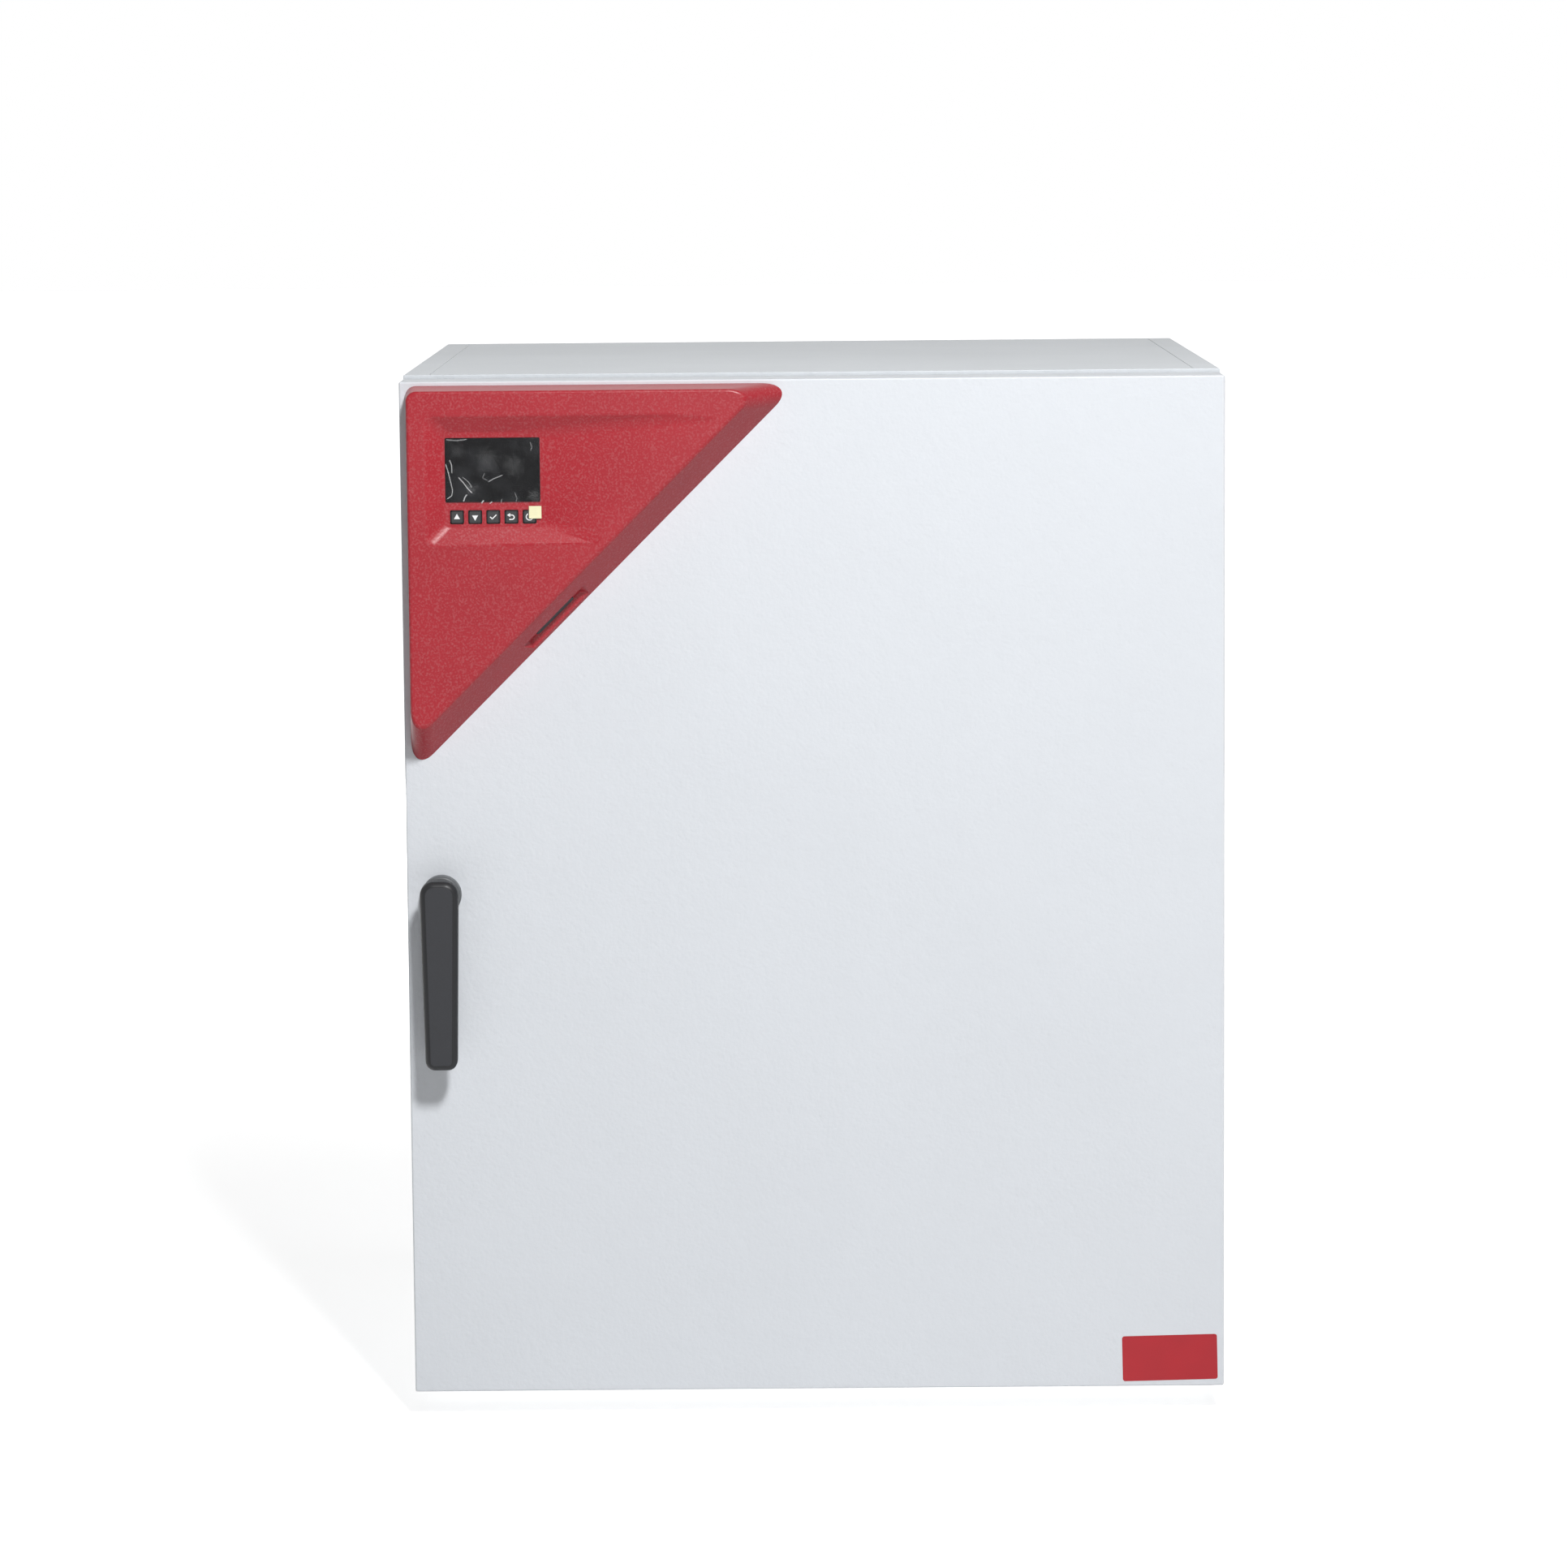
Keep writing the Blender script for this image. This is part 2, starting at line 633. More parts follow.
def inlet_box(clearance):
    """The inlet's body where it passes the rear panel."""
    low = (INLET_X - INLET_WIDTH / 2 - clearance, HOUSING_REAR - RETURN_DEPTH, INLET_Z - clearance)
    high_x = INLET_X + INLET_WIDTH / 2 + clearance
    return low, (high_x, HOUSING_REAR + SHEET, INLET_Z + INLET_TALL + clearance)


def build_rear_panel():
    low = (-HALF_WIDTH, HOUSING_REAR - RETURN_DEPTH, HOUSING_BOTTOM)
    high = (HALF_WIDTH, HOUSING_REAR, HOUSING_TOP)
    item = make_object("rear_panel", pan(low, high, SHEET, (0, -1, 0)), CABINET_PAINT)
    middle = MACHINE_FLOOR + (CONDENSER_HEIGHT - VENT_SLOT_HEIGHT) / 2
    slots = []
    for row in range(VENT_SLOTS):
        z = middle + (row - (VENT_SLOTS - 1) / 2) * VENT_PITCH
        slot_low = (CONDENSER_X - VENT_SLOT_WIDTH / 2, HOUSING_REAR - 2 * SHEET, z)
        slot_high = (CONDENSER_X + VENT_SLOT_WIDTH / 2, HOUSING_REAR + SHEET, z + VENT_SLOT_HEIGHT)
        slots.append((slot_low, slot_high))
    boolean(item, merge_blocks(slots + [inlet_box(FIT)]))
    boolean(item, access_cutter(FIT))


def build_base_pan():
    low = (-INNER_SIDE, PANEL_FRONT, HOUSING_BOTTOM)
    high = (INNER_SIDE, PANEL_REAR, HOUSING_BOTTOM + BASE_EDGE_HEIGHT)
    make_object("base_pan", pan(low, high, SHEET, (0, 0, 1)), ZINC)


def build_deck():
    """Sheet that carries the insulated chamber, with its side edges turned down."""
    points = [
        (-INNER_SIDE, DECK_BOTTOM - DECK_FLANGE),
        (-INNER_SIDE, DECK_TOP),
        (INNER_SIDE, DECK_TOP),
        (INNER_SIDE, DECK_BOTTOM - DECK_FLANGE),
        (INNER_SIDE - SHEET, DECK_BOTTOM - DECK_FLANGE),
        (INNER_SIDE - SHEET, DECK_BOTTOM),
        (-INNER_SIDE + SHEET, DECK_BOTTOM),
        (-INNER_SIDE + SHEET, DECK_BOTTOM - DECK_FLANGE),
    ]
    length = (0.0, PANEL_REAR - PANEL_FRONT, 0.0)
    bm = extrude_outline(points, lambda x, z: (x, PANEL_FRONT, z), length)
    make_object("deck_panel", bm, ZINC)


def build_feet():
    profile = [
        (0.0, 0.0),
        (FOOT_RADIUS, 0.0),
        (FOOT_RADIUS, FOOT_PAD_HEIGHT),
        (FOOT_NECK_RADIUS, FOOT_PAD_HEIGHT),
        (FOOT_NECK_RADIUS, FOOT_HEIGHT - FIT),
        (0.0, FOOT_HEIGHT - FIT),
    ]
    for side_name, side in (("left", -1), ("right", 1)):
        x = side * (HALF_WIDTH - FOOT_INSET_SIDE)
        rows = (("front", HOUSING_FRONT + FOOT_SETBACK_FRONT), ("rear", HOUSING_REAR - FOOT_SETBACK_REAR))
        for row_name, y in rows:
            bm = revolve(profile, (x, y, 0.0))
            make_object("foot_" + row_name + "_" + side_name, bm, RUBBER, 40)


def build_chamber_liner():
    low = (-HALF_CHAMBER - LINER_WALL, INNER_FRONT, CHAMBER_BOTTOM - LINER_WALL)
    high = (HALF_CHAMBER + LINER_WALL, CHAMBER_REAR + LINER_WALL, CHAMBER_TOP + LINER_WALL)
    item = make_object("chamber_liner", pan(low, high, LINER_WALL, (0, -1, 0)), STAINLESS)
    boolean(item, access_cutter(FIT))


def build_cabinet_insulation():
    low = (-INNER_SIDE, INNER_FRONT, DECK_TOP + FIT)
    high = (INNER_SIDE, INNER_REAR, HOUSING_TOP - SHEET - FIT)
    item = make_object("cabinet_insulation", block(low, high), FOAM)
    cavity_low = (-HALF_CHAMBER - LINER_WALL - FIT, INNER_FRONT - SHEET, CHAMBER_BOTTOM - LINER_WALL - FIT)
    cavity_high = (
        HALF_CHAMBER + LINER_WALL + FIT,
        CHAMBER_REAR + LINER_WALL + FIT,
        CHAMBER_TOP + LINER_WALL + FIT,
    )
    notches = [
        (cavity_low, cavity_high),
        keeper_box(2 * FIT, INNER_FRONT - SHEET, HOUSING_FRONT + KEEPER_DEPTH + FIT),
    ]
    plate_rear = INNER_FRONT + HINGE_PLATE_THICKNESS + FIT
    notch_half = HINGE_PLATE_HEIGHT / 2 + FIT
    for level in HINGE_LEVELS.values():
        notch_low = (INNER_SIDE - HINGE_PLATE_WIDTH - FIT, INNER_FRONT - SHEET, level - notch_half)
        notches.append((notch_low, (HALF_WIDTH, plate_rear, level + notch_half)))
    boolean(item, merge_blocks(notches))
    boolean(item, access_cutter(FIT))


def build_hinge(name, level):
    """Bracket behind the front frame, whose arm reaches into the door, and its pin."""
    half_height = HINGE_ARM_THICKNESS / 2
    arm_half = HINGE_ARM_WIDTH / 2
    outline = [(HINGE_X - arm_half, INNER_FRONT + HINGE_PLATE_THICKNESS / 2)]
    outline += [(HINGE_X - arm_half, HINGE_Y)]
    for step in range(1, END_ARC_STEPS):
        angle = pi + pi * step / END_ARC_STEPS
        outline.append((HINGE_X + arm_half * cos(angle), HINGE_Y + arm_half * sin(angle)))
    outline += [(HINGE_X + arm_half, HINGE_Y)]
    outline += [(HINGE_X + arm_half, INNER_FRONT + HINGE_PLATE_THICKNESS / 2)]
    thickness = (0.0, 0.0, HINGE_ARM_THICKNESS)
    bm = extrude_outline(outline, lambda x, y: (x, y, level - half_height), thickness)
    bracket = make_object("hinge_bracket_" + name, bm, ZINC)
    plate_low = (INNER_SIDE - HINGE_PLATE_WIDTH, INNER_FRONT, level - HINGE_PLATE_HEIGHT / 2)
    plate_high = (INNER_SIDE - FIT, INNER_FRONT + HINGE_PLATE_THICKNESS, level + HINGE_PLATE_HEIGHT / 2)
    boolean(bracket, block(plate_low, plate_high), "UNION")
    bore = HINGE_PIN_RADIUS + FIT
    bore_profile = [(bore, -HINGE_ARM_THICKNESS), (bore, HINGE_ARM_THICKNESS)]
    boolean(bracket, revolve(bore_profile, (HINGE_X, HINGE_Y, level), "Z", PIN_ROUND))
    pin_profile = [(HINGE_PIN_RADIUS, -HINGE_PIN_REACH), (HINGE_PIN_RADIUS, HINGE_PIN_REACH)]
    pin = make_object(
        "hinge_pin_" + name, revolve(pin_profile, (HINGE_X, HINGE_Y, level), "Z", PIN_ROUND), STAINLESS, 40
    )
    return pin


def hinge_pocket_box(level, spare):
    """The slot in the door's rear right edge that the arm swings in."""
    half_height = HINGE_ARM_THICKNESS / 2 + HINGE_ARM_PLAY + spare
    low_x = HINGE_X - HINGE_ARM_WIDTH / 2 - 2 * FIT - spare
    low = (low_x, HINGE_Y - POCKET_FRONT - spare, level - half_height)
    return low, (HALF_WIDTH + SHEET, DOOR_REAR + SHEET, level + half_height)


def hinge_block_box(level, spare):
    """The block inside the door that holds the hinge pin above and below the arm."""
    shell_inside = HALF_WIDTH - SHEET - FIT
    low = (shell_inside - HINGE_BLOCK_WIDTH - spare, HINGE_Y - HINGE_BLOCK_FRONT - spare)
    half = HINGE_BLOCK_HEIGHT / 2 + spare
    high = (shell_inside, DOOR_REAR - LINER_SHEET - FIT + spare)
    return (low[0], low[1], level - half), (high[0], high[1], level + half)


def build_hinge_block(name, level):
    item = make_object("door_hinge_block_" + name, block(*hinge_block_box(level, 0.0)), ZINC)
    boolean(item, block(*hinge_pocket_box(level, 0.0)))
    bore = HINGE_PIN_RADIUS + FIT
    reach = HINGE_PIN_REACH + FIT
    boolean(item, revolve([(bore, -reach), (bore, reach)], (HINGE_X, HINGE_Y, level), "Z", PIN_ROUND))
    return item


def spindle_cutter(radius, front, rear):
    """A round hole through the door at the handle."""
    return revolve([(radius, front), (radius, rear)], (HANDLE_X, 0.0, HANDLE_Z), "Y")


def build_door_shell():
    """Folded outer pan of the door with softly rounded front edges."""
    low = (-HALF_WIDTH, DOOR_FRONT, DOOR_BOTTOM)
    high = (HALF_WIDTH, DOOR_REAR, DOOR_TOP)
    bm = pan(low, high, SHEET, (0, 1, 0))
    round_edges(bm, edges_between(bm, (0, 1, 0), DOOR_FRONT), DOOR_EDGE_ROUND / 2, 2)
    item = make_object("door_shell", bm, CABINET_PAINT)
    boolean(item, merge_blocks([hinge_pocket_box(level, 0.0) for level in HINGE_LEVELS.values()]))
    boolean(item, spindle_cutter(SPINDLE_RADIUS + FIT, DOOR_FRONT - SHEET, DOOR_FRONT + 2 * SHEET))
    return item


def build_door_liner():
    """Formed inner panel of the door, with a dish that clears the glass door."""
    edge = HALF_WIDTH - SHEET - FIT
    low = (-edge, DOOR_REAR - LINER_SHEET, DOOR_BOTTOM + SHEET + FIT)
    high = (edge, DOOR_REAR, DOOR_TOP - SHEET - FIT)
    middle = CHAMBER_MIDDLE
    half_x = DISH_HALF_X
    half_z = DISH_HALF_Z
    item = make_object("door_liner", block(low, high), WHITE_PLASTIC)
    floor = DOOR_REAR - DISH_DEPTH
    outer = block(
        (-half_x - LINER_SHEET, floor - LINER_SHEET, middle - half_z - LINER_SHEET),
        (half_x + LINER_SHEET, DOOR_REAR - LINER_SHEET / 2, middle + half_z + LINER_SHEET),
    )
    taper_face(outer, face_towards(outer, (0, -1, 0)), DISH_DRAFT)
    boolean(item, outer, "UNION")
    inner = block((-half_x, floor, middle - half_z), (half_x, DOOR_REAR + SHEET, middle + half_z))
    taper_face(inner, face_towards(inner, (0, -1, 0)), DISH_DRAFT)
    boolean(item, inner)
    pockets = [hinge_pocket_box(level, FIT) for level in HINGE_LEVELS.values()]
    boolean(item, merge_blocks(pockets))
    boolean(item, spindle_cutter(CAM_SLEEVE_RADIUS + FIT, floor, DOOR_REAR + SHEET))
    return item


def build_door_insulation():
    edge = HALF_WIDTH - SHEET - FIT
    front = DOOR_FRONT + SHEET + FIT
    rear = DOOR_REAR - LINER_SHEET - FIT
    low = (-edge, front, DOOR_BOTTOM + SHEET + FIT)
    item = make_object("door_insulation", block(low, (edge, rear, DOOR_TOP - SHEET - FIT)), FOAM)
    middle = CHAMBER_MIDDLE
    half_x = DISH_HALF_X + LINER_SHEET + FIT
    half_z = DISH_HALF_Z + LINER_SHEET + FIT
    dish_floor = DOOR_REAR - DISH_DEPTH - LINER_SHEET - FIT
    dish = block((-half_x, dish_floor, middle - half_z), (half_x, DOOR_REAR, middle + half_z))
    boolean(item, dish)
    notches = [hinge_block_box(level, FIT) for level in HINGE_LEVELS.values()]
    notches = [(low, (HALF_WIDTH, DOOR_REAR, high[2])) for low, high in notches]
    boolean(item, merge_blocks(notches))
    boolean(item, spindle_cutter(CAM_SLEEVE_RADIUS + FIT, front - SHEET, DOOR_REAR))
    return item


def build_door_gasket():
    middle = CHAMBER_MIDDLE
    inner_x = DISH_HALF_X + GASKET_MARGIN
    inner_z = DISH_HALF_Z + GASKET_MARGIN
    outer_x = inner_x + GASKET_WIDTH
    outer_z = inner_z + GASKET_WIDTH
    return frame_ring(
        (-outer_x, middle - outer_z),
        (outer_x, middle + outer_z),
        (-inner_x, middle - inner_z),
        (inner_x, middle + inner_z),
        DOOR_REAR + FIT,
        HOUSING_FRONT - FIT,
        "door_gasket",
        RUBBER,
    )


def build_latch_keeper():
    """Pressed cup in the front frame behind the handle, with the lip the cam bears on."""
    low, high = keeper_box(0.0, HOUSING_FRONT, HOUSING_FRONT + KEEPER_DEPTH)
    item = make_object("latch_keeper", pan(low, high, SHEET, (0, -1, 0)), STAINLESS)
    lip_low = (low[0] + SHEET / 2, low[1], low[2] + SHEET / 2)
    lip = block(lip_low, (high[0] - SHEET / 2, low[1] + SHEET, low[2] + KEEPER_LIP))
    boolean(item, lip, "UNION")


def build_glass_door():
    glass = block((-GLASS_HALF, GLASS_FRONT, GLASS_BOTTOM), (GLASS_HALF, GLASS_REAR, GLASS_TOP))
    round_edges(glass, edges_in_depth(glass), GLASS_CORNER_ROUND, 3)
    pane = make_object("glass_door", glass, CLEAR_GLASS)
    inner_x = GLASS_HALF - GLASS_SEAL_INSET - GLASS_SEAL_WIDTH
    inner_low = GLASS_BOTTOM + GLASS_SEAL_INSET + GLASS_SEAL_WIDTH
    inner_high = GLASS_TOP - GLASS_SEAL_INSET - GLASS_SEAL_WIDTH
    frame_ring(
        (-inner_x - GLASS_SEAL_WIDTH, inner_low - GLASS_SEAL_WIDTH),
        (inner_x + GLASS_SEAL_WIDTH, inner_high + GLASS_SEAL_WIDTH),
        (-inner_x, inner_low),
        (inner_x, inner_high),
        HOUSING_FRONT - FIT - GLASS_SEAL_HEIGHT,
        HOUSING_FRONT - FIT,
        "glass_door_seal",
        SILICONE,
    )
    return [pane, build_glass_rail(), build_glass_knob()]


def build_glass_rail():
    """Channel along the glass door's right edge, with a pivot pin at each end."""
    edge = GLASS_HALF - RAIL_GRIP
    front = GLASS_FRONT - FIT
    rear = GLASS_REAR + FIT
    far = GLASS_HALF + RAIL_WIDTH
    points = [
        (edge, front - RAIL_WALL),
        (far, front - RAIL_WALL),
        (far, rear + RAIL_WALL),
        (edge, rear + RAIL_WALL),
        (edge, rear),
        (GLASS_HALF + FIT, rear),
        (GLASS_HALF + FIT, front),
        (edge, front),
    ]
    length = (0.0, 0.0, GLASS_TOP - GLASS_BOTTOM)
    bm = extrude_outline(points, lambda x, y: (x, y, GLASS_BOTTOM), length)
    rail = make_object("glass_door_rail", bm, STAINLESS)
    low = GLASS_BOTTOM - RAIL_PIN_LENGTH
    high = GLASS_TOP + RAIL_PIN_LENGTH
    pin = [(RAIL_PIN_RADIUS, low), (RAIL_PIN_RADIUS, high)]
    boolean(rail, revolve(pin, (GLASS_HINGE_X, GLASS_HINGE_Y, 0.0), "Z", PIN_ROUND), "UNION")
    return rail


def build_glass_posts():
    """Posts on the front frame that hold the glass door's pivot pins."""
    levels = (("top", GLASS_TOP + FIT), ("bottom", GLASS_BOTTOM - FIT - POST_HEIGHT))
    for name, low in levels:
        front = GLASS_HINGE_Y - RAIL_PIN_RADIUS - 2 * RAIL_WALL
        half = POST_WIDTH / 2
        bm = block(
            (GLASS_HINGE_X - half, front, low),
            (GLASS_HINGE_X + half, HOUSING_FRONT - FIT, low + POST_HEIGHT),
        )
        post = make_object("glass_hinge_post_" + name, bm, STAINLESS)
        bore = [(RAIL_PIN_RADIUS + FIT, low - SHEET), (RAIL_PIN_RADIUS + FIT, low + POST_HEIGHT + SHEET)]
        boolean(post, revolve(bore, (GLASS_HINGE_X, GLASS_HINGE_Y, 0.0), "Z", PIN_ROUND))


def build_glass_knob():
    """Knob clamped to the left edge of the glass door."""
    x = -GLASS_HALF + KNOB_RADIUS + RAIL_GRIP
    z = (GLASS_TOP + GLASS_BOTTOM) / 2
    front = GLASS_FRONT - FIT - KNOB_HEIGHT
    profile = [
        (0.0, front),
        (KNOB_FACE_RADIUS, front),
        (KNOB_RADIUS, front + KNOB_EDGE_ROUND),
        (KNOB_NECK_RADIUS, front + KNOB_HEIGHT - KNOB_FOOT_HEIGHT),
        (KNOB_FOOT_RADIUS, front + KNOB_HEIGHT),
        (0.0, front + KNOB_HEIGHT),
    ]
    return make_object("glass_door_knob", revolve(profile, (x, 0.0, z), "Y"), BLACK_PLASTIC, 50)


def door_point(u, v, y):
    """A point by its distance from the door's left edge and down from its top edge."""
    return Vector((-HALF_WIDTH + u, y, DOOR_TOP - v))


def corner_arc(centre, radius, start, end):
    """Points on an arc in u and v, angles in degrees."""
    angles = [radians(start + (end - start) * i / HOUSING_ARC_STEPS) for i in range(HOUSING_ARC_STEPS + 1)]
    return [(centre[0] + radius * cos(a), centre[1] + radius * sin(a)) for a in angles]


def triangle_outline(left, top, diagonal, corner_radius, tip_radius):
    """Right triangle with rounded corners, from u = left, v = top and u + v = diagonal."""
    slack = tip_radius * (1 + sqrt(2))
    right_u = diagonal - top - slack
    low_v = diagonal - left - slack
    points = corner_arc((left + corner_radius, top + corner_radius), corner_radius, 180, 270)
    points += corner_arc((right_u, top + tip_radius), tip_radius, 270, 405)
    points += corner_arc((left + tip_radius, low_v), tip_radius, 45, 180)
    return points


def loft(rings):
    """Closed skin through outlines that have the same number of points."""
    bm = bmesh.new()
    loops = [[bm.verts.new(point) for point in ring] for ring in rings]
    count = len(loops[0])
    for lower, upper in zip(loops, loops[1:]):
        for i in range(count):
            j = (i + 1) % count
            bm.faces.new([lower[i], lower[j], upper[j], upper[i]])
    bm.faces.new(loops[0])
    bm.faces.new(loops[-1])
    return bm


def housing_ring(share, inset, y):
    """The housing's outline at a share of the way from its base to its face, drawn in."""
    left = HOUSING_BASE_LEFT + (HOUSING_FACE_LEFT - HOUSING_BASE_LEFT) * share + inset
    top = HOUSING_BASE_TOP + (HOUSING_FACE_TOP - HOUSING_BASE_TOP) * share + inset
    diagonal = HOUSING_BASE_DIAGONAL + (HOUSING_FACE_DIAGONAL - HOUSING_BASE_DIAGONAL) * share
    diagonal -= inset * sqrt(2)
    radii = (max(HOUSING_CORNER_RADIUS - inset, FIT), max(HOUSING_TIP_RADIUS - inset, FIT))
    return [door_point(u, v, y) for u, v in triangle_outline(left, top, diagonal, *radii)]


def housing_body(inset, rear, front_wall):
    """Outer form of the housing, or its hollow when it is drawn in by the wall."""
    depth = HOUSING_PROJECTION - front_wall
    shoulder = HOUSING_SHOULDER
    rings = [housing_ring(0.0, inset, rear)]
    for angle in (0, 30, 60, 90):
        drawn = shoulder * (1 - cos(radians(angle)))
        along = depth - shoulder + shoulder * sin(radians(angle))
        share = along / HOUSING_PROJECTION
        rings.append(housing_ring(share, inset + drawn, DOOR_FRONT - along))
    return loft(rings)


def field_body(grow, above):
    """The sunk control field: a flat floor, three sloping walls and a ramp to the long side."""
    slope = FIELD_SLOPE_WIDTH
    outer = [
        (FIELD_LEFT - grow, FIELD_TOP - grow),
        (FIELD_DIAGONAL - FIELD_TOP + grow, FIELD_TOP - grow),
        (FIELD_DIAGONAL - FIELD_BOTTOM + grow, FIELD_BOTTOM + grow),
        (FIELD_LEFT - grow, FIELD_BOTTOM + grow),
    ]
    inner = [
        (FIELD_LEFT + slope - grow / 2, FIELD_TOP + slope - grow / 2),
        (FIELD_FLOOR_RIGHT + grow, FIELD_TOP + slope - grow / 2),
        (FIELD_FLOOR_RIGHT + grow, FIELD_BOTTOM - slope + grow / 2),
        (FIELD_LEFT + slope - grow / 2, FIELD_BOTTOM - slope + grow / 2),
    ]
    floor = FIELD_FLOOR + grow
    face = HOUSING_FACE + grow
    rings = [
        [door_point(u, v, above) for u, v in outer],
        [door_point(u, v, face) for u, v in outer],
        [door_point(u, v, floor) for u, v in inner],
    ]
    bm = loft(rings)
    left_of = door_point(FIELD_LEFT + slope, 0.0, 0.0).x + FIT
    corners = [e for e in edges_in_depth(bm) if all(v.co.x < left_of for v in e.verts)]
    round_edges(bm, corners, FIELD_CORNER_ROUND, 3)
    bmesh.ops.triangulate(bm, faces=bm.faces)
    return bm


def long_side_frame():
    """Local frame on the housing's long side: x along it, y away from the door, z outwards."""
    along = Vector((1, 0, 1)).normalized()
    outwards = Vector((1, 0, -1)).normalized()
    origin = door_point(PORT_ALONG_U, PORT_ALONG_V, DOOR_FRONT)
    on_line = (HOUSING_BASE_DIAGONAL - PORT_ALONG_U - PORT_ALONG_V) / sqrt(2)
    origin += outwards * on_line
    matrix = Matrix((along, (0, -1, 0), outwards)).transposed().to_4x4()
    return Matrix.Translation(origin) @ matrix


def long_side_level(y):
    """Level of the long side's leaning wall in its own frame, at a distance from the door."""
    lean = (HOUSING_BASE_DIAGONAL - HOUSING_FACE_DIAGONAL) / sqrt(2)
    return -lean * y / HOUSING_PROJECTION


def port_recess(grow):
    """The port's recess: its ends slope in, and its seat leans to face the front."""
    near = PORT_NEAR_DOOR - grow
    far = PORT_FAR_DOOR + grow
    mouth = PORT_MOUTH_LENGTH / 2 + grow
    lower = PORT_LOWER_LENGTH / 2 + grow
    seat = PORT_SEAT_LENGTH / 2 + grow
    near_seat = -PORT_SEAT_NEAR_INSET - grow
    far_seat = -PORT_SEAT_FAR_INSET - grow
    far_mouth = long_side_level(far) + PORT_OVERCUT
    near_mouth = long_side_level(near) + PORT_OVERCUT
    sizes = [(mouth, far_mouth, lower, near_mouth), (seat, far_seat, seat, near_seat)]
    rings = []
    for far_x, far_z, near_x, near_z in sizes:
        ring = [(-far_x, far, far_z), (far_x, far, far_z)]
        rings.append(ring + [(near_x, near, near_z), (-near_x, near, near_z)])
    bm = loft(rings)
    bmesh.ops.triangulate(bm, faces=bm.faces)
    bmesh.ops.transform(bm, matrix=long_side_frame(), verts=bm.verts)
    return bm


def port_seat_frame():
    """Local frame on the port's leaning seat: x along it, y away from the door, z off it."""
    lean = atan2(PORT_SEAT_FAR_INSET - PORT_SEAT_NEAR_INSET, PORT_FAR_DOOR - PORT_NEAR_DOOR)
    middle_y = (PORT_NEAR_DOOR + PORT_FAR_DOOR) / 2
    middle_z = -(PORT_SEAT_NEAR_INSET + PORT_SEAT_FAR_INSET) / 2
    to_seat = Matrix.Translation((0.0, middle_y, middle_z))
    return long_side_frame() @ to_seat @ Matrix.Rotation(-lean, 4, "X")


def key_left(index):
    return KEY_FIRST_LEFT + KEY_PITCH * index


def key_box(index, spare, front, rear):
    """Space of one key, grown by a margin on its four sides."""
    left = key_left(index) - spare
    high_corner = door_point(left + KEY_SIZE + 2 * spare, KEY_TOP - spare, rear)
    low_corner = door_point(left, KEY_TOP + KEY_SIZE + spare, front)
    return low_corner, high_corner


def display_box(border, front, rear):
    low = door_point(DISPLAY_LEFT + border, DISPLAY_TOP + DISPLAY_HEIGHT - border, front)
    high = door_point(DISPLAY_LEFT + DISPLAY_WIDTH - border, DISPLAY_TOP + border, rear)
    return low, high


def port_slot_box(spare):
    """Slot through the wall behind the port cover, in the seat's own frame."""
    half = COVER_TONGUE_LENGTH / 2 + spare
    half_height = COVER_TONGUE_HEIGHT / 2 + spare
    low = (-half, COVER_SHIFT - half_height, -COVER_TONGUE_DEPTH)
    return low, (half, COVER_SHIFT + half_height, SHEET)


def build_control_housing():
    """Moulded shell of one wall thickness, with the field, its holes and the port recess."""
    rear = DOOR_FRONT - FIT
    item = make_object("control_housing", housing_body(0.0, rear, 0.0), RED_PLASTIC, 30)
    hollow = boolean(item, housing_body(HOUSING_WALL, rear + SHEET, HOUSING_WALL))
    hollow.name = "control_housing_hollow"
    boolean(hollow, field_body(HOUSING_WALL, HOUSING_FACE - SHEET))
    boolean(hollow, port_recess(HOUSING_WALL))
    boolean(item, field_body(0.0, HOUSING_FACE - HOUSING_WALL))
    boolean(item, port_recess(0.0))
    holes = [display_box(DISPLAY_RIM - FIT, FIELD_FLOOR - SHEET, FIELD_BACK + SHEET)]
    for index in range(KEY_COUNT):
        holes.append(key_box(index, KEY_CLEARANCE, FIELD_FLOOR - SHEET, FIELD_BACK + SHEET))
    boolean(item, merge_blocks(holes))
    slot = block(*port_slot_box(FIT))
    bmesh.ops.transform(slot, matrix=port_seat_frame(), verts=slot.verts)
    boolean(item, slot)
    return item


def build_display():
    """Display: a glass that lies on the field's floor and the module behind it."""
    front = FIELD_FLOOR - FIT - DISPLAY_GLASS
    bm = block(*display_box(0.0, front, FIELD_FLOOR - FIT))
    push_face(bm, face_towards(bm, (0, 1, 0)), DISPLAY_RIM, BOARD_FRONT - FIELD_FLOOR)
    return make_object("display", bm, DARK_GLASS)


def build_key(index):
    """Push key with a collar that holds it behind the field's floor."""
    front = FIELD_FLOOR - KEY_PROUD
    cap = block(*key_box(index, 0.0, front, FIELD_BACK + FIT))
    round_edges(cap, edges_in_depth(cap), KEY_ROUND, 2)
    key = make_object("key_" + str(index + 1), cap, BLACK_PLASTIC)
    collar_front = FIELD_BACK + FIT
    collar = block(*key_box(index, KEY_COLLAR, collar_front, collar_front + KEY_COLLAR_THICKNESS))
    boolean(key, collar, "UNION")
    return key


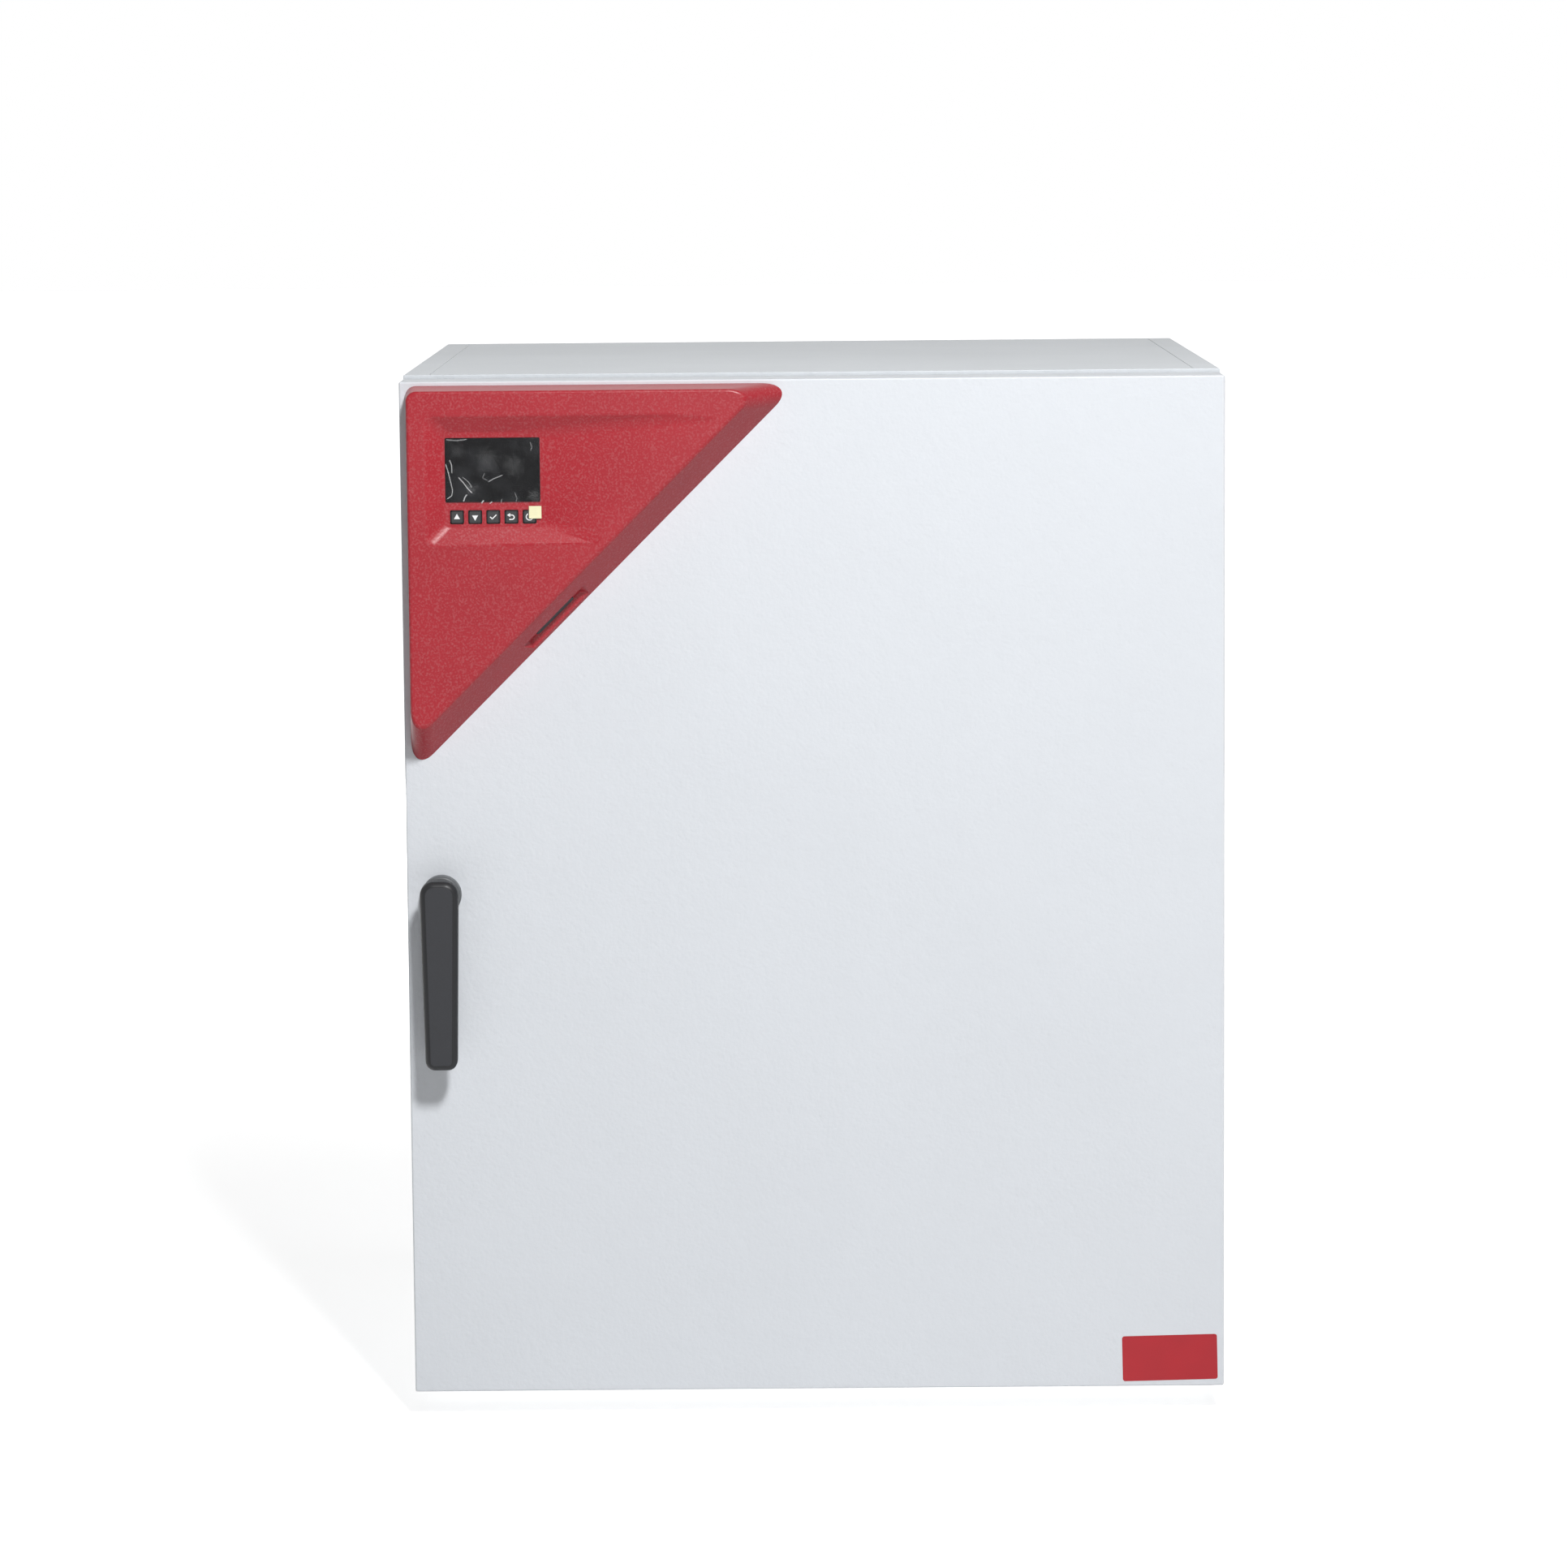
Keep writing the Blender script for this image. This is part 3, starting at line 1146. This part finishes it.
def build_control_board():
    left = min(DISPLAY_LEFT, KEY_FIRST_LEFT) - BOARD_MARGIN
    right = max(DISPLAY_LEFT + DISPLAY_WIDTH, key_left(KEY_COUNT)) + BOARD_MARGIN
    low = door_point(left, KEY_TOP + KEY_SIZE + BOARD_MARGIN, BOARD_FRONT)
    high = door_point(right, DISPLAY_TOP - BOARD_MARGIN, BOARD_FRONT + BOARD_THICKNESS)
    return make_object("control_board", block(low, high), BOARD_GREEN)


def build_port_cover():
    """Cover of the port with the tongue that plugs into the wall."""
    half_length = COVER_LENGTH / 2
    half_height = COVER_HEIGHT / 2
    high = (half_length, COVER_SHIFT + half_height, FIT + COVER_THICKNESS)
    bm = block((-half_length, COVER_SHIFT - half_height, FIT), high)
    upright = [e for e in bm.edges if abs(e.verts[0].co.z - e.verts[1].co.z) > FIT]
    round_edges(bm, upright, COVER_HEIGHT / 3, 3)
    cover = make_object("port_cover", bm, RUBBER)
    tongue_low, tongue_high = port_slot_box(0.0)
    tongue = block(tongue_low, (tongue_high[0], tongue_high[1], COVER_THICKNESS / 2))
    tool = boolean(cover, tongue, "UNION")
    for piece in (cover, tool):
        piece.data.transform(port_seat_frame())
    return cover


def lever_outline(inset):
    """Front outline of the lever about its pivot: wide at the top, narrower at the bottom."""
    top_half = LEVER_TOP_WIDTH / 2 - inset
    bottom_half = LEVER_BOTTOM_WIDTH / 2 - inset
    top = LEVER_ABOVE - inset
    bottom = -LEVER_BELOW + inset
    top_round = max(LEVER_TOP_ROUND - inset, 2 * FIT)
    bottom_round = max(LEVER_BOTTOM_ROUND - inset, 2 * FIT)
    corners = [
        (top_half, top, top_round, 0),
        (-top_half, top, top_round, 90),
        (-bottom_half, bottom, bottom_round, 180),
        (bottom_half, bottom, bottom_round, 270),
    ]
    points = []
    for x, z, radius, start in corners:
        centre_x = x - radius if x > 0 else x + radius
        centre_z = z - radius if z > 0 else z + radius
        for step in range(LEVER_ARC_STEPS + 1):
            angle = radians(start + 90 * step / LEVER_ARC_STEPS)
            points.append((centre_x + radius * cos(angle), centre_z + radius * sin(angle)))
    return points


def build_handle():
    """Rosette on the door, the lever that turns on it, and the cam behind the door."""
    centre = (HANDLE_X, 0.0, HANDLE_Z)
    rear = DOOR_FRONT - FIT
    bore = SPINDLE_RADIUS + FIT
    rosette_front = rear - ROSETTE_HEIGHT
    ring = tube_ring(ROSETTE_RADIUS, bore, rosette_front, rear, centre, "Y")
    front_edges = edges_between(ring, (0, 1, 0), rosette_front)
    outer_edges = [e for e in front_edges if (e.verts[0].co - Vector(centre)).xz.length > bore * 2]
    ring_edges = [e for e in outer_edges if (e.verts[1].co - Vector(centre)).xz.length > bore * 2]
    round_edges(ring, ring_edges, ROSETTE_HEIGHT / 4, 3)
    rosette = make_object("handle_rosette", ring, BLACK_PLASTIC, 40)
    lever_front = DOOR_FRONT - HANDLE_PROJECTION
    lever_rear = lever_front + LEVER_THICKNESS
    rings = []
    levels = (
        (LEVER_RIM / 2, lever_rear),
        (0.0, lever_rear - LEVER_RIM / 2),
        (0.0, lever_front + LEVER_RIM),
        (LEVER_RIM / 4, lever_front + LEVER_RIM / 2),
        (LEVER_RIM, lever_front),
    )
    for inset, y in levels:
        rings.append([Vector((HANDLE_X + x, y, HANDLE_Z + z)) for x, z in lever_outline(inset)])
    lever = make_object("handle_lever", loft(rings), BLACK_PLASTIC, 35)
    hub = [(HUB_RADIUS, lever_rear - LEVER_RIM), (HUB_RADIUS, rosette_front - FIT)]
    boolean(lever, revolve(hub, centre, "Y"), "UNION")
    cam_rear = DOOR_REAR + CAM_REACH
    cam_front = cam_rear - CAM_THICKNESS
    spindle = [(SPINDLE_RADIUS, rosette_front - 2 * FIT), (SPINDLE_RADIUS, cam_front - FIT)]
    boolean(lever, revolve(spindle, centre, "Y"), "UNION")
    cam = build_latch_cam(cam_front, cam_rear)
    return rosette, [lever, cam]


def build_latch_cam(front, rear):
    """Cam on the spindle's end, which turns in front of the keeper's lip."""
    half = CAM_WIDTH / 2
    points = []
    for step in range(END_ARC_STEPS + 1):
        angle = pi * step / END_ARC_STEPS
        points.append((half * cos(angle), half * sin(angle)))
    tip_half = CAM_TIP_WIDTH / 2
    points += [(-tip_half, -CAM_LENGTH), (tip_half, -CAM_LENGTH)]
    thickness = (0.0, rear - front, 0.0)
    bm = extrude_outline(points, lambda x, z: (HANDLE_X + x, front, HANDLE_Z + z), thickness)
    return make_object("latch_cam", bm, ZINC)


def build_keys_and_port():
    keys = [build_key(index) for index in range(KEY_COUNT)]
    for index, key in enumerate(keys):
        centre = door_point(key_left(index) + KEY_SIZE / 2, KEY_TOP + KEY_SIZE / 2, FIELD_FLOOR)
        carry("pivot_key_" + str(index + 1), centre, [key])
    cover = build_port_cover()
    carry("pivot_port_cover", port_seat_frame().translation, [cover])


def build_fan(name, centre, radius):
    """Bladed wheel: alternate sides of the hub are drawn out into pitched blades."""
    sides = FAN_BLADES * 3
    profile = [(FAN_HUB_RADIUS, -FAN_HUB_DEPTH / 2), (FAN_HUB_RADIUS, FAN_HUB_DEPTH / 2)]
    bm = revolve(profile, (0, 0, 0), "Z", sides)
    bm.normal_update()
    roots = [f for f in bm.faces if abs(f.normal.z) < 0.5]
    roots.sort(key=lambda f: -Vector((1, 0)).angle_signed(f.calc_center_median().xy) % (2 * pi))
    for root in roots[::3]:
        outwards = root.normal.copy()
        sideways = Vector((-outwards.y, outwards.x, 0))
        reaches = (BLADE_ROOT, (radius + FAN_HUB_RADIUS) / 2, radius)
        face = root
        last_chord = sideways
        for reach, half_chord, pitch in zip(reaches, BLADE_HALF_CHORDS, BLADE_PITCHES):
            face = bmesh.ops.extrude_discrete_faces(bm, faces=[face])["faces"][0]
            chord = sideways * cos(radians(pitch)) + Vector((0, 0, sin(radians(pitch))))
            across = chord.cross(outwards)
            last_across = last_chord.cross(outwards)
            middle = face.calc_center_median()
            for vert in face.verts:
                offset = vert.co - middle
                side = 1 if offset.dot(last_chord) > 0 else -1
                level = 1 if offset.dot(last_across) > 0 else -1
                place = outwards * reach + chord * half_chord * side
                vert.co = place + across * level * BLADE_THICKNESS / 2
            last_chord = chord
    bmesh.ops.rotate(bm, matrix=Matrix.Rotation(radians(-90), 3, "X"), verts=bm.verts)
    bmesh.ops.translate(bm, vec=centre, verts=bm.verts)
    fan = make_object(name, bm, BLACK_PLASTIC)
    bore = [(FAN_SHAFT_RADIUS + FIT, -FAN_HUB_DEPTH), (FAN_SHAFT_RADIUS + FIT, FAN_HUB_DEPTH)]
    boolean(fan, revolve(bore, centre, "Y", PIN_ROUND))
    carry("pivot_" + name, centre, [fan])
    return fan


def motor_profile(front, rear, hub_front):
    """Motor body with its shaft reaching forward through the fan's hub."""
    return [
        (0.0, hub_front),
        (FAN_SHAFT_RADIUS, hub_front),
        (FAN_SHAFT_RADIUS, front),
        (FAN_MOTOR_RADIUS, front),
        (FAN_MOTOR_RADIUS, rear),
        (0.0, rear),
    ]


def build_air_system():
    """Fan, motor, evaporator and heater in the duct behind the baffle."""
    motor_rear = CHAMBER_REAR - FIT
    motor_front = motor_rear - FAN_MOTOR_DEPTH
    fan_centre_y = motor_front - 2 * FIT - FAN_HUB_DEPTH / 2
    shaft_front = fan_centre_y - FAN_HUB_DEPTH / 2 - 2 * FIT
    profile = motor_profile(motor_front, motor_rear, shaft_front)
    make_object("fan_motor", revolve(profile, (0.0, 0.0, FAN_Z), "Y"), BLACK_STEEL, 40)
    build_fan("circulation_fan", Vector((0.0, fan_centre_y, FAN_Z)), FAN_RADIUS)
    low = CHAMBER_BOTTOM + EVAPORATOR_FLOOR_GAP
    build_finned_block(
        "evaporator", 0.0, CHAMBER_REAR - FIT, low, EVAPORATOR_WIDTH, EVAPORATOR_DEPTH,
        EVAPORATOR_HEIGHT, EVAPORATOR_FINS,
    )
    build_heater(low + EVAPORATOR_HEIGHT + HEATER_GAP)


def build_finned_block(name, x, rear, low, width, depth, height, fins):
    """Cooling block: upright fins that stand forward from one spine."""
    pitch = (width - FIN_THICKNESS) / (fins - 1)
    front = rear - depth
    root = rear - FIN_SPINE
    left = x - width / 2
    comb = []
    for index in range(fins):
        start = left + pitch * index
        end = start + FIN_THICKNESS
        comb += [(start, root), (start, front), (end, front), (end, root)]
    points = [(left, rear)] + comb[1:-1] + [(left + width, rear)]
    bm = extrude_outline(points, lambda px, py: (px, py, low), (0.0, 0.0, height))
    return make_object(name, bm, FINS)


def build_heater(low):
    """Tubular heater bent into flat loops, standing off the chamber's rear wall."""
    curve = bpy.data.curves.new("heater", "CURVE")
    curve.dimensions = "3D"
    curve.bevel_depth = HEATER_RADIUS
    curve.bevel_resolution = 1
    curve.use_fill_caps = True
    y = CHAMBER_REAR - HEATER_RADIUS - FIT
    half = HEATER_WIDTH / 2
    bend = HEATER_PITCH / 2
    path = [(-half, low)]
    for turn in range(3):
        side = 1 if turn % 2 == 0 else -1
        centre_z = low + HEATER_PITCH * turn + bend
        for step in range(7):
            angle = radians(-90 + 30 * step)
            path.append((side * (half + bend * cos(angle)), centre_z + bend * sin(angle)))
    path.append((half, low + 3 * HEATER_PITCH))
    spline = curve.splines.new("POLY")
    spline.points.add(len(path) - 1)
    for point, (x, z) in zip(spline.points, path):
        point.co = (x, y, z, 1.0)
    item = bpy.data.objects.new("heater", curve)
    bpy.context.collection.objects.link(item)
    curve.materials.append(finish_material("heater", *STAINLESS))


def build_air_baffle():
    """Duct cover with the fan's round inlet and two columns of outlet slots."""
    half = BAFFLE_WIDTH / 2
    low = (-half, BAFFLE_FRONT, CHAMBER_BOTTOM + BAFFLE_MARGIN)
    high = (half, CHAMBER_REAR - FIT, CHAMBER_TOP - BAFFLE_MARGIN)
    item = make_object("air_baffle", pan(low, high, LINER_WALL, (0, 1, 0)), STAINLESS)
    slots = []
    for column in (-1, 1):
        centre_x = column * half / 2
        for row in range(BAFFLE_SLOT_COUNT):
            z = low[2] + BAFFLE_SLOT_START + BAFFLE_SLOT_PITCH * row
            slot_low = (centre_x - BAFFLE_SLOT_WIDTH / 2, BAFFLE_FRONT - SHEET, z)
            slot_high = (centre_x + BAFFLE_SLOT_WIDTH / 2, BAFFLE_FRONT + 2 * SHEET, z + BAFFLE_SLOT_HEIGHT)
            slots.append((slot_low, slot_high))
    boolean(item, merge_blocks(slots))
    hole = [(BAFFLE_INLET_RADIUS, BAFFLE_FRONT + reach) for reach in (-SHEET, 2 * SHEET)]
    boolean(item, revolve(hole, (0.0, 0.0, FAN_Z), "Y"))


def build_shelf_rack(name, side):
    """Side rack with a turned-in ledge at each level."""
    outer = side * (HALF_CHAMBER - FIT)
    inner = outer - side * RACK_SHEET
    tip = outer - side * RACK_WIDTH
    bottom = CHAMBER_BOTTOM + RACK_MARGIN
    top = CHAMBER_BOTTOM + RACK_FIRST_LEVEL + RACK_LEVEL_PITCH * (RACK_LEVELS - 1) + RACK_MARGIN
    points = [(outer, bottom), (outer, top), (inner, top)]
    for level in reversed(range(RACK_LEVELS)):
        ledge = CHAMBER_BOTTOM + RACK_FIRST_LEVEL + RACK_LEVEL_PITCH * level
        points += [(inner, ledge), (tip, ledge), (tip, ledge - RACK_SHEET), (inner, ledge - RACK_SHEET)]
    points.append((inner, bottom))
    start = HOUSING_FRONT + SHELF_FRONT_GAP
    length = (0.0, BAFFLE_FRONT - RACK_REAR_GAP - start, 0.0)
    bm = extrude_outline(points, lambda x, z: (x, start, z), length)
    make_object(name, bm, STAINLESS)


def build_shelf(number, level):
    """Slotted shelf that lies on one pair of ledges."""
    z = CHAMBER_BOTTOM + RACK_FIRST_LEVEL + RACK_LEVEL_PITCH * level + FIT
    half = HALF_CHAMBER - FIT - RACK_SHEET - SHELF_SIDE_GAP
    front = HOUSING_FRONT + SHELF_FRONT_GAP
    rear = BAFFLE_FRONT - SHELF_SIDE_GAP
    pitch = (2 * half - 2 * SHELF_BORDER + SHELF_BAR) / SHELF_SLOTS
    x_lines = [-half]
    for slot in range(SHELF_SLOTS):
        start = -half + SHELF_BORDER + pitch * slot
        x_lines += [start, start + pitch - SHELF_BAR]
    x_lines.append(half)
    middle = (front + rear) / 2
    y_lines = [front, front + SHELF_BORDER, middle - SHELF_BAR / 2, middle + SHELF_BAR / 2]
    y_lines += [rear - SHELF_BORDER, rear]
    bm = slotted_plate(
        x_lines, y_lines, lambda i, j: i % 2 == 1 and j in (1, 3), lambda x, y: (x, y, z),
        (0.0, 0.0, SHELF_THICKNESS),
    )
    shelf = make_object("shelf_" + str(number), bm, STAINLESS)
    carry("pivot_shelf_" + str(number), (0.0, middle, z), [shelf])


def build_probe():
    """Temperature probe held off the baffle by two clips."""
    z = CHAMBER_BOTTOM + RACK_FIRST_LEVEL + RACK_LEVEL_PITCH * PROBE_LEVEL - PROBE_LENGTH / 2
    x = BAFFLE_WIDTH / 2 - PROBE_FROM_EDGE
    y = BAFFLE_FRONT - PROBE_STANDOFF
    profile = [
        (0.0, z),
        (PROBE_RADIUS, z + PROBE_RADIUS),
        (PROBE_RADIUS, z + PROBE_LENGTH),
        (0.0, z + PROBE_LENGTH),
    ]
    probe = make_object("temperature_probe", revolve(profile, (x, y, 0.0), "Z", PIN_ROUND), STAINLESS, 40)
    clips = []
    for reach in PROBE_CLIP_LEVELS:
        level = z + reach
        low = (x - PROBE_RADIUS / 2, y, level - PROBE_RADIUS)
        clips.append((low, (x + PROBE_RADIUS / 2, BAFFLE_FRONT - FIT, level + PROBE_RADIUS)))
    boolean(probe, merge_blocks(clips), "UNION")


def build_access_port():
    """Tube through the rear wall and the plug that closes it from outside."""
    centre = (ACCESS_X, 0.0, ACCESS_Z)
    bm = tube_ring(ACCESS_OUTER_RADIUS, ACCESS_BORE_RADIUS, CHAMBER_REAR, HOUSING_REAR, centre, "Y")
    make_object("access_port_tube", bm, WHITE_PLASTIC, 40)
    stem = ACCESS_BORE_RADIUS - 2 * FIT
    profile = [
        (0.0, HOUSING_REAR - PLUG_STEM_LENGTH),
        (stem - PLUG_STEM_CHAMFER, HOUSING_REAR - PLUG_STEM_LENGTH),
        (stem, HOUSING_REAR - PLUG_STEM_LENGTH + PLUG_STEM_CHAMFER),
        (stem, HOUSING_REAR + FIT),
        (PLUG_KNOB_RADIUS, HOUSING_REAR + FIT),
        (PLUG_KNOB_RADIUS, HOUSING_REAR + PLUG_KNOB_DEPTH - PLUG_KNOB_CHAMFER),
        (PLUG_KNOB_RADIUS - PLUG_KNOB_CHAMFER, HOUSING_REAR + PLUG_KNOB_DEPTH),
        (0.0, HOUSING_REAR + PLUG_KNOB_DEPTH),
    ]
    plug = make_object("access_port_plug", revolve(profile, centre, "Y"), SILICONE, 40)
    carry("pivot_access_port_plug", (centre[0], HOUSING_REAR, centre[2]), [plug])


def build_compressor():
    """Hermetic compressor: a domed shell on a wide foot plate."""
    floor = MACHINE_FLOOR
    y = (HOUSING_FRONT + HOUSING_REAR) / 2
    dome = COMPRESSOR_RADIUS
    profile = [(0.0, floor), (COMPRESSOR_FLANGE, floor), (COMPRESSOR_FLANGE, floor + 2 * SHEET)]
    profile += [(COMPRESSOR_SKIRT_RADIUS, floor + 2 * SHEET), (dome, floor + COMPRESSOR_SKIRT_HEIGHT)]
    rise = COMPRESSOR_HEIGHT - COMPRESSOR_SHOULDER
    for angle in (0, 30, 60):
        height = COMPRESSOR_SHOULDER + rise * sin(radians(angle))
        profile.append((dome * cos(radians(angle)), floor + height))
    profile.append((0.0, floor + COMPRESSOR_HEIGHT))
    make_object("compressor", revolve(profile, (COMPRESSOR_X, y, 0.0)), BLACK_STEEL, 40)


def build_condenser():
    """Condenser, its fan shroud and the fan that blows out through the rear vents."""
    floor = MACHINE_FLOOR
    rear = HOUSING_REAR - CONDENSER_FROM_REAR + CONDENSER_DEPTH
    build_finned_block(
        "condenser", CONDENSER_X, rear, floor, CONDENSER_WIDTH, CONDENSER_DEPTH,
        CONDENSER_HEIGHT, CONDENSER_FINS,
    )
    shroud_front = rear + FIT
    shroud_rear = shroud_front + SHROUD_DEPTH
    half = CONDENSER_WIDTH / 2
    z = floor + CONDENSER_HEIGHT / 2
    bm = block(
        (CONDENSER_X - half, shroud_front, floor),
        (CONDENSER_X + half, shroud_rear, floor + CONDENSER_HEIGHT),
    )
    shroud = make_object("fan_shroud", bm, BLACK_STEEL)
    mouth = FAN_RADIUS + SHROUD_FAN_CLEARANCE
    hole = [(mouth, shroud_front - SHEET), (mouth, shroud_rear + SHEET)]
    boolean(shroud, revolve(hole, (CONDENSER_X, 0.0, z), "Y"))
    motor_front = shroud_front + FIT
    motor_rear = motor_front + SHROUD_WALL
    bar_low = (CONDENSER_X - mouth - SHEET, motor_front, z - MOTOR_BAR_HEIGHT / 2)
    bar = block(bar_low, (CONDENSER_X + mouth + SHEET, motor_rear, z + MOTOR_BAR_HEIGHT / 2))
    boolean(shroud, bar, "UNION")
    hub_rear = motor_rear + FIT + FAN_HUB_DEPTH
    shaft = [(FAN_SHAFT_RADIUS, motor_rear - SHEET), (FAN_SHAFT_RADIUS, hub_rear)]
    boolean(shroud, revolve(shaft, (CONDENSER_X, 0.0, z), "Y", PIN_ROUND), "UNION")
    centre = Vector((CONDENSER_X, motor_rear + FIT + FAN_HUB_DEPTH / 2, z))
    build_fan("condenser_fan", centre, FAN_RADIUS)


def build_power_inlet():
    """Mains inlet in the rear panel, with an open socket mouth."""
    low = (INLET_X - INLET_WIDTH / 2, HOUSING_REAR - INLET_DEPTH, INLET_Z)
    high = (INLET_X + INLET_WIDTH / 2, HOUSING_REAR + INLET_PROUD / 2, INLET_Z + INLET_TALL)
    inlet = make_object("power_inlet", block(low, high), BLACK_PLASTIC)
    rim = block(
        (low[0] - INLET_RIM, HOUSING_REAR + FIT, low[2] - INLET_RIM),
        (high[0] + INLET_RIM, HOUSING_REAR + FIT + INLET_PROUD, high[2] + INLET_RIM),
    )
    boolean(inlet, rim, "UNION")
    mouth = block(
        (low[0] + INLET_WALL, HOUSING_REAR - INLET_DEPTH + INLET_WALL, low[2] + INLET_WALL),
        (high[0] - INLET_WALL, HOUSING_REAR + 2 * INLET_PROUD, high[2] - INLET_WALL),
    )
    boolean(inlet, mouth)


def build_cabinet():
    build_front_frame()
    build_side_panel("side_panel_left", -1)
    build_side_panel("side_panel_right", 1)
    build_top_panel()
    build_rear_panel()
    build_base_pan()
    build_deck()
    build_feet()
    build_cabinet_insulation()
    build_chamber_liner()
    build_latch_keeper()
    build_glass_posts()
    build_power_inlet()


def build_inside():
    build_air_baffle()
    build_air_system()
    build_shelf_rack("shelf_rack_left", -1)
    build_shelf_rack("shelf_rack_right", 1)
    for number, level in enumerate(SHELF_LEVELS, start=1):
        build_shelf(number, level)
    build_probe()
    build_access_port()
    build_compressor()
    build_condenser()


def build_door():
    """The outer door and everything that swings with it."""
    pieces = [build_door_shell(), build_door_liner(), build_door_insulation(), build_door_gasket()]
    pieces += [build_control_housing(), build_display(), build_control_board()]
    for name, level in HINGE_LEVELS.items():
        pieces.append(build_hinge(name, level))
        pieces.append(build_hinge_block(name, level))
    rosette, turning = build_handle()
    pieces.append(rosette)
    carry("pivot_door", (HINGE_X, HINGE_Y, HANDLE_Z), pieces)
    carry("pivot_handle", (HANDLE_X, DOOR_FRONT, HANDLE_Z), turning)
    build_keys_and_port()


def build_glass():
    glass_z = (GLASS_TOP + GLASS_BOTTOM) / 2
    carry("pivot_glass_door", (GLASS_HINGE_X, GLASS_HINGE_Y, glass_z), build_glass_door())


clear_scene()
build_cabinet()
build_inside()
build_door()
build_glass()
